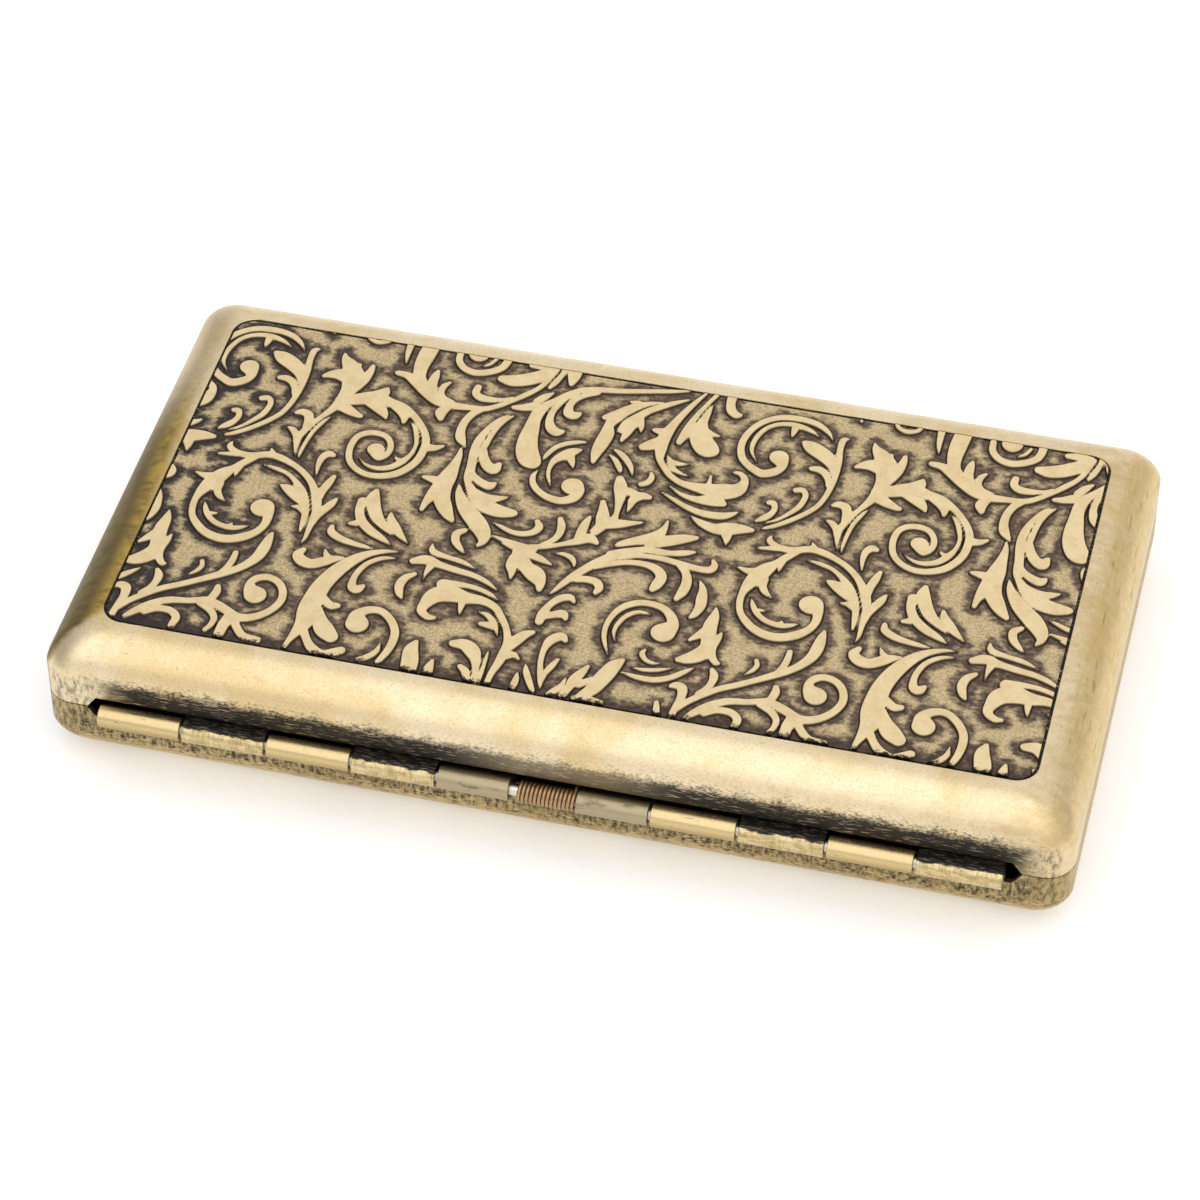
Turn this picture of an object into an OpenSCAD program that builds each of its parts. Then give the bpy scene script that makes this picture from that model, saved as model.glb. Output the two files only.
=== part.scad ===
// Hinged needle case: two shallow pressed brass halves on a ten-knuckle spring hinge,
// with a press-button latch, a magnetic sheet for loose needles and a felt pad under a strap.
// X runs along the case, the hinge is at -Y, the case lies on Z = 0 and is drawn shut.

/* [Case] */
// Length of the case
case_l = 110; // [100:1:130]
// Width of the two halves, without the hinge and the button
case_w = 60.5; // [56:0.5:76]
// Height of the shut case
case_h = 16.6; // [16:0.1:20]
// Thickness of the pressed brass
wall = 0.6; // [0.5:0.05:0.7]
// Gap between the two rims when the case is shut
rim_gap = 0.1; // [0.06:0.02:0.2]
// Radius of the upright corners
corner_r = 3.2; // [2.5:0.1:5]
// How far the rounded shoulder reaches in from the wall
shoulder_in = 5.3; // [4.5:0.1:6]
// How far the rounded shoulder drops from the face to the wall
shoulder_drop = 4.15; // [3.5:0.05:4.5]

/* [Face panel] */
// How far the panel stands above the shoulder
panel_rise = 0.15; // [0.1:0.05:0.3]
// Margin from the wall to the border line round the panel
panel_margin = 5.1; // [4.5:0.1:7]
// Corner radius of the border line
panel_r = 2.5; // [1.5:0.1:5]
// Width of the border line
border_w = 0.35; // [0.25:0.05:0.6]
// Depth of the border line below the shoulder
border_depth = 0.2; // [0.1:0.05:0.3]

/* [Hinge] */
// Outer diameter of a knuckle
knuckle_d = 2.45; // [2.3:0.05:2.8]
// Diameter of the hinge pin
pin_d = 1.2; // [1:0.1:1.4]
// Radial clearance between the pin and a knuckle
pin_play = 0.05; // [0.02:0.01:0.08]
// Distance from the rear wall out to the pin's axis
axis_out = 0.9; // [0.8:0.05:1.2]
// Distance from one knuckle to the next
knuckle_pitch = 9.25; // [9:0.05:9.5]
// Gap between neighbouring knuckles
knuckle_gap = 0.3; // [0.2:0.05:0.4]
// Depth of each leaf inside the wall
leaf_h = 2.7; // [2:0.1:3]
// Height of the slot cut out of each rim for the hinge
rim_cut = 1.5; // [1.4:0.05:1.8]
// Length of the slanted end of that slot
rim_cut_slant = 1.1; // [0.6:0.1:2]

/* [Spring] */
// Diameter of the spring's wire
wire_d = 0.42; // [0.35:0.01:0.45]
// Number of turns in the coil
coil_turns = 13; // [10:1:14]
// Length of the coil
coil_l = 6.35; // [5.5:0.05:6.6]
// Length of each straight leg, from the pin's axis
leg_l = 3.6; // [3:0.1:6]

/* [Latch] */
// Length of the press button
button_l = 9; // [7:0.5:12]
// Height of the press button
button_h = 2.4; // [2:0.1:2.6]
// How far the button stands out from the front wall
button_out = 1.2; // [1:0.1:1.5]
// How far the button can be pressed
button_travel = 0.9; // [0.8:0.05:1]
// Thickness of the latch's leaf spring
leaf_t = 0.4; // [0.3:0.05:0.5]
// Length of the leaf spring from its fixed end to the button
latch_l = 24; // [18:1:30]
// Width of the hook and of the ledge that it holds
hook_w = 6; // [4:0.5:8]
// How far the hook reaches over the ledge
hook_bite = 0.5; // [0.4:0.05:0.6]

/* [Lining] */
// Thickness of the magnetic sheet
magnet_t = 0.8; // [0.5:0.1:1.2]
// Margin between the magnetic sheet and the edge of the base's floor
magnet_margin = 2; // [1:0.5:4]
// Thickness of the felt pad
felt_t = 2; // [1.5:0.1:2.5]
// Length of the felt pad
felt_l = 82; // [70:1:90]
// Width of the strap
strap_w = 10; // [6:1:14]
// Thickness of the strap
strap_t = 0.8; // [0.6:0.1:1]

/* [Hidden] */
$fn = 64;
cut = 1;

seam_z = case_h / 2;
half_rise = seam_z - panel_rise;
shoulder_r = (shoulder_in * shoulder_in + shoulder_drop * shoulder_drop) / (2 * shoulder_drop);
face_l = case_l - 2 * panel_margin;
face_w = case_w - 2 * panel_margin;
inside_l = case_l - 2 * wall;
inside_w = case_w - 2 * wall;
floor_z = panel_rise + wall;
ceiling_z = case_h - floor_z;
wall_in_y = inside_w / 2;

axis_y = -case_w / 2 - axis_out;
knuckle_r = knuckle_d / 2;
bore_r = pin_d / 2 + pin_play;
sheet_t = knuckle_r - bore_r;
knuckles_from = 11.35;
hinge_end = knuckles_from + 4 * knuckle_pitch - knuckle_gap / 2;
rim_cut_end = hinge_end + 0.7;
spring_from = -2.8;
spring_gap = 3.6;

button_z = seam_z - 2.3;
button_play = 0.12;
button_flange_t = 0.4;
hook_gap = 0.05;
ledge_t = 0.4;
ledge_z = seam_z + 0.25;
leaf_y = wall_in_y - 1.75;
clip_l = 4;

brass_shell = [0.66, 0.58, 0.40];
brass_bright = [0.80, 0.68, 0.42];
brass_dull = [0.55, 0.50, 0.40];
steel_pin = [0.75, 0.72, 0.66];
spring_wire = [0.45, 0.28, 0.20];
magnet_brown = [0.20, 0.17, 0.15];
felt_wine = [0.40, 0.10, 0.13];
strap_black = [0.12, 0.11, 0.11];

// A rectangle with round corners, centred on the origin
module round_rect(l, w, r) {
    square([l - 2 * r, w], center = true);
    square([l, w - 2 * r], center = true);
    for (x = [-1, 1], y = [-1, 1]) {
        translate([x * (l / 2 - r), y * (w / 2 - r)]) circle(r = r);
    }
}

// A bar with half-round ends
module stadium(l, h) {
    square([l - h, h], center = true);
    for (x = [-1, 1]) {
        translate([x * (l - h) / 2, 0]) circle(d = h);
    }
}

// Section of one half: an upright wall from the rim, then a round shoulder up to a flat face.
// The second axis runs from the seam towards the face.
module half_section(l, rise, reach, r) {
    wall_top = rise - r + sqrt(r * r - reach * reach);
    intersection() {
        translate([-l / 2, rim_gap / 2]) square([l, rise - rim_gap / 2]);
        union() {
            translate([-l / 2, 0]) square([l, wall_top]);
            translate([-l / 2 + reach, 0]) square([l - 2 * reach, rise]);
            for (x = [-1, 1]) {
                translate([x * (l / 2 - reach), rise - r]) circle(r = r);
            }
        }
    }
}

// Solid half: the same section along the case and across it, within the upright corners
module half_solid(l, w, rise, reach, r, corner) {
    intersection() {
        rotate([90, 0, 0]) linear_extrude(w + cut, center = true) half_section(l, rise, reach, r);
        rotate([90, 0, 90]) linear_extrude(l + cut, center = true) half_section(w, rise, reach, r);
        linear_extrude(rise) round_rect(l, w, corner);
    }
}

// Outline of the slot cut out of a rim for the hinge, pointed at both ends
module rim_slot() {
    rotate([90, 0, 0]) linear_extrude(4 * wall, center = true) polygon([
        [-rim_cut_end - rim_cut_slant, 0],
        [-rim_cut_end, rim_cut],
        [rim_cut_end, rim_cut],
        [rim_cut_end + rim_cut_slant, 0]
    ]);
}

// Border line round the panel
module border_line() {
    difference() {
        linear_extrude(cut) round_rect(face_l, face_w, panel_r);
        translate([0, 0, -cut / 2]) linear_extrude(2 * cut)
            round_rect(face_l - 2 * border_w, face_w - 2 * border_w, panel_r - border_w);
    }
}

// One pressed half, open at the seam, with its face towards +Z
module half_shell() {
    difference() {
        union() {
            half_solid(case_l, case_w, half_rise, shoulder_in, shoulder_r, corner_r);
            translate([0, 0, half_rise - wall]) linear_extrude(wall + panel_rise)
                round_rect(face_l, face_w, panel_r);
        }
        half_solid(inside_l, inside_w, half_rise - wall, shoulder_in - wall, shoulder_r - wall, corner_r - wall);
        linear_extrude(2 * rim_gap)
            round_rect(inside_l, inside_w, corner_r - wall);
        translate([0, 0, half_rise - border_depth]) border_line();
        translate([0, -case_w / 2, 0]) rim_slot();
    }
}

// Window in the front wall that the button passes through
module button_window() {
    translate([0, wall_in_y + wall / 2, button_z]) rotate([90, 0, 0])
        linear_extrude(4 * wall, center = true) stadium(button_l + 2 * button_play, button_h + 2 * button_play);
}

module base_shell() {
    color(brass_shell) difference() {
        translate([0, 0, seam_z]) mirror([0, 0, 1]) half_shell();
        button_window();
    }
}

module lid_shell() {
    color(brass_shell) translate([0, 0, seam_z]) half_shell();
}

// Tube of one or more knuckles from x0 to x1, with the web that carries it over the rim.
// The pin's axis is the X axis, and the web runs along the tube's lowest line.
module knuckle(x0, x1, web_to) {
    difference() {
        union() {
            translate([x0, 0, 0]) rotate([0, 90, 0]) cylinder(r = knuckle_r, h = x1 - x0);
            translate([x0, 0, -knuckle_r]) cube([x1 - x0, web_to, sheet_t]);
        }
        translate([x0 - cut, 0, 0]) rotate([0, 90, 0]) cylinder(r = bore_r, h = x1 - x0 + 2 * cut);
    }
}

// One hinge leaf: a flange against the inside of the wall and four knuckles
module hinge_leaf() {
    flange_y = wall_in_y * -1 - axis_y;
    half_gap = knuckle_gap / 2;
    translate([-hinge_end, flange_y, -knuckle_r - leaf_h]) cube([2 * hinge_end, sheet_t, leaf_h]);
    for (slot = [-4, -2, 1, 3]) {
        x0 = slot < 0 ? -knuckles_from + slot * knuckle_pitch : knuckles_from + (slot - 1) * knuckle_pitch;
        knuckle(x0 + half_gap, x0 + knuckle_pitch - half_gap, flange_y + sheet_t);
    }
}

module base_hinge_leaf() {
    color(brass_bright) translate([0, axis_y, seam_z]) hinge_leaf();
}

module lid_hinge_leaf() {
    color(brass_bright) translate([0, axis_y, seam_z]) mirror([1, 0, 0]) mirror([0, 0, 1]) hinge_leaf();
}

// Middle leaf on the base: its flange lies over the base's leaf, with a knuckle each side of the spring
module spring_bracket() {
    flange_y = wall_in_y * -1 - axis_y + sheet_t;
    end_x = knuckles_from - knuckle_gap / 2;
    color(brass_dull) translate([0, axis_y, seam_z]) {
        translate([-end_x, flange_y, -knuckle_r - leaf_h]) cube([2 * end_x, sheet_t, leaf_h]);
        knuckle(-end_x, -spring_gap, flange_y + sheet_t);
        knuckle(spring_gap, end_x, flange_y + sheet_t);
    }
}

module hinge_pin() {
    color(steel_pin) translate([-hinge_end, axis_y, seam_z]) rotate([0, 90, 0])
        cylinder(d = pin_d, h = 2 * hinge_end);
}

// Close-wound coil round the pin, with one leg on the base's leaf and one on the lid's
module torsion_spring() {
    pitch = coil_l / coil_turns;
    turn_r = pitch * 0.53;
    mid_r = knuckle_r - turn_r;
    leg_z = knuckle_r - wire_d / 2 - 0.02;
    color(spring_wire) translate([spring_from, axis_y, seam_z]) {
        rotate([0, 90, 0]) rotate_extrude() {
            for (turn = [0 : coil_turns - 1]) {
                translate([mid_r, (turn + 0.5) * pitch]) circle(r = turn_r);
            }
        }
        translate([pitch / 2, 0, -leg_z]) rotate([-90, 0, 0]) cylinder(d = wire_d, h = leg_l);
        translate([coil_l - pitch / 2, 0, leg_z]) rotate([-90, 0, 0]) cylinder(d = wire_d, h = leg_l);
    }
}

// Button with a flange behind the front wall and a stem that bears on the leaf spring
module latch_button() {
    flange_y = wall_in_y - hook_gap;
    stem_y = leaf_y + leaf_t + hook_gap;
    color(brass_bright) translate([0, 0, button_z]) {
        translate([0, case_w / 2 + button_out, 0]) rotate([90, 0, 0])
            linear_extrude(wall + button_out + 2 * hook_gap) stadium(button_l, button_h);
        translate([-button_l / 2 - 1, flange_y - button_flange_t, -button_h / 2 - 0.4])
            cube([button_l + 2, button_flange_t, button_h + 0.8]);
        translate([-2, stem_y, -1]) cube([4, flange_y - button_flange_t / 2 - stem_y, 2]);
    }
}

// Leaf spring soldered to the front wall at one end, with the hook standing up behind the button
module latch_leaf() {
    hook_z = ledge_z + ledge_t + hook_gap;
    ledge_y = leaf_y + leaf_t + 0.15;
    foot_l = 6;
    color(brass_dull) {
        translate([-latch_l, leaf_y, button_z - button_h / 2]) cube([latch_l + hook_w, leaf_t, button_h]);
        translate([-latch_l, leaf_y, button_z - button_h / 2]) cube([foot_l, wall_in_y - leaf_y, button_h]);
        translate([-hook_w / 2, leaf_y, button_z]) cube([hook_w, leaf_t, hook_z + leaf_t - button_z]);
        translate([-hook_w / 2, leaf_y, hook_z]) cube([hook_w, ledge_y + hook_bite - leaf_y, leaf_t]);
    }
}

// Ledge on the inside of the lid's front wall, under the hook
module lid_catch() {
    ledge_y = leaf_y + leaf_t + 0.15;
    catch_w = hook_w + 4;
    color(brass_bright) {
        translate([-catch_w / 2, ledge_y, ledge_z]) cube([catch_w, wall_in_y - ledge_y, ledge_t]);
        translate([-catch_w / 2, wall_in_y - ledge_t, ledge_z]) cube([catch_w, ledge_t, 2.6]);
    }
}

module magnet_sheet() {
    l = case_l - 2 * (shoulder_in + magnet_margin);
    w = case_w - 2 * (shoulder_in + magnet_margin);
    color(magnet_brown) translate([0, 0, floor_z]) linear_extrude(magnet_t) round_rect(l, w, 2);
}

module felt_pad() {
    w = case_w - 2 * (shoulder_in + magnet_margin);
    color(felt_wine) translate([0, 0, ceiling_z - felt_t]) linear_extrude(felt_t) round_rect(felt_l, w, 2);
}

// Strap that runs under the felt and up into a clip at each end
module elastic_strap() {
    low_z = ceiling_z - felt_t - 0.15;
    high_z = ceiling_z - 0.45;
    bend_x = felt_l / 2 + 0.6;
    clip_x = bend_x + 2.6;
    end_x = clip_x + clip_l - 0.5;
    color(strap_black) rotate([90, 0, 0]) linear_extrude(strap_w, center = true) polygon([
        [-end_x, high_z], [-clip_x, high_z], [-bend_x, low_z],
        [bend_x, low_z], [clip_x, high_z], [end_x, high_z],
        [end_x, high_z - strap_t], [clip_x, high_z - strap_t], [bend_x, low_z - strap_t],
        [-bend_x, low_z - strap_t], [-clip_x, high_z - strap_t], [-end_x, high_z - strap_t]
    ]);
}

// Clip at each end of the strap, soldered to the lid
module strap_clips() {
    clip_x = felt_l / 2 + 3.2;
    clip_h = strap_t + 0.95;
    color(brass_bright) for (side = [0, 1]) mirror([side, 0, 0]) difference() {
        translate([clip_x, -strap_w / 2 - 1, ceiling_z - clip_h]) cube([clip_l, strap_w + 2, clip_h]);
        translate([clip_x - cut, -strap_w / 2 - 0.05, ceiling_z - 0.5 - strap_t])
            cube([clip_l + cut - 0.4, strap_w + 0.1, strap_t + 0.1]);
    }
}

base_shell();
lid_shell();
base_hinge_leaf();
lid_hinge_leaf();
spring_bracket();
hinge_pin();
torsion_spring();
latch_button();
latch_leaf();
lid_catch();
magnet_sheet();
felt_pad();
elastic_strap();
strap_clips();
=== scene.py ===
"""Needle case: two pressed brass halves with a scrolled relief panel, a spring hinge and a button latch.

Lengths are in millimetres, and MM or metres() turns them into Blender's metres. X runs along the case and
the hinge is at -Y.
"""

import math

import bpy
import bmesh
import numpy as np
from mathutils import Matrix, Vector


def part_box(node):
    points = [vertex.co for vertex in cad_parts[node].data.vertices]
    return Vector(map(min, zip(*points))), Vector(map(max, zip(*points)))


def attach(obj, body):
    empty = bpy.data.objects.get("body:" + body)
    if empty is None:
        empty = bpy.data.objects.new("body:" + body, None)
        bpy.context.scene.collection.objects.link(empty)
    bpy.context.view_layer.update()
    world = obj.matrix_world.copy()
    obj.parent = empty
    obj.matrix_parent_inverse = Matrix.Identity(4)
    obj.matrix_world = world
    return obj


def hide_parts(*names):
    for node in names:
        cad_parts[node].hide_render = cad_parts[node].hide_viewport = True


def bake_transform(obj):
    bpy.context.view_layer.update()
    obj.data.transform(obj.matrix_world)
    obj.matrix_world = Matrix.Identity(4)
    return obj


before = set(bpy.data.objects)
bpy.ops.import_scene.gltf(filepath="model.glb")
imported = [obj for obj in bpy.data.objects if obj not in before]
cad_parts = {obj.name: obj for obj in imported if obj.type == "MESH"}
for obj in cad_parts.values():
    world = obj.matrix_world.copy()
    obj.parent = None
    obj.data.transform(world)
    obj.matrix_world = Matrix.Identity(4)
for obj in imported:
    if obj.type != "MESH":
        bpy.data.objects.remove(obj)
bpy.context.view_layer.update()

MM = 0.001


def box_mm(node):
    """Lowest and highest corner of a CAD node, in millimetres."""
    low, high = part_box(node)
    return np.array(low) / MM, np.array(high) / MM


LID_LO, LID_HI = box_mm("lid_shell")
BASE_LO, BASE_HI = box_mm("base_shell")
PIN_LO, PIN_HI = box_mm("hinge_pin")
BUTTON_LO, BUTTON_HI = box_mm("latch_button")
LEAF_LO, LEAF_HI = box_mm("latch_leaf")
SPRING_LO, SPRING_HI = box_mm("torsion_spring")
FELT_LO, FELT_HI = box_mm("felt_pad")
STRAP_LO, STRAP_HI = box_mm("elastic_strap")

CENTRE_X, CENTRE_Y = (LID_LO + LID_HI)[:2] / 2
HALF_L, HALF_W = (LID_HI - LID_LO)[:2] / 2
SEAM_Z = (BASE_HI[2] + LID_LO[2]) / 2
HALF_H = LID_HI[2] - SEAM_Z
RIM_GAP = (LID_LO[2] - BASE_HI[2]) / 2
AXIS_Y, AXIS_Z = (PIN_LO + PIN_HI)[1:] / 2
MIDDLE = np.array([CENTRE_X, CENTRE_Y, SEAM_Z])

# Edges steeper than this, in degrees, stay crisp
EDGE_SHARP = 35.0
SHELL_SHARP = 32.0
RELIEF_SHARP = 30.0
WIRE_SHARP = 50.0
LEAF_SHARP = 40.0
FELT_SHARP = 60.0
STRAP_SHARP = 70.0

# Pressed halves
WALL = 0.6
CORNER_R = 3.2
PANEL_R = 2.5
SHOULDER_IN = 5.3
SHOULDER_DROP = 4.15
PANEL_RISE = 0.15
PANEL_MARGIN = 5.1
PANEL_HALF_L, PANEL_HALF_W = HALF_L - PANEL_MARGIN, HALF_W - PANEL_MARGIN
BORDER_W = 0.35
BORDER_DEPTH = 0.2
PLATE_DROP = 0.4

# Relief panel. Its slope runs from TOP_EDGE inside a motif's edge to FOOT_EDGE outside it
RELIEF_H = 0.25
CELL = 0.225
TOP_EDGE = -0.07
FOOT_EDGE = 0.09
TILE_STEP = (60.5, -0.5)
SPLINE_STEP = 0.16
LEAST_HALF_WIDTH = 0.06
FIELD_REACH = 1.8
SKIRT_OVERLAP = 0.05

# Light and camera. The camera's two places are measured from the middle of the case at the seam
KEY_PLACE = (-80, -420, 760)
KEY_SIZE = 1150
KEY_WATTS = 2.75
CAMERA_PLACE = (80.6, -332.7, 331.7)
CAMERA_TARGET = (-1.3, -1.65, 0)
FLOOR_HALF = 2600

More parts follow.
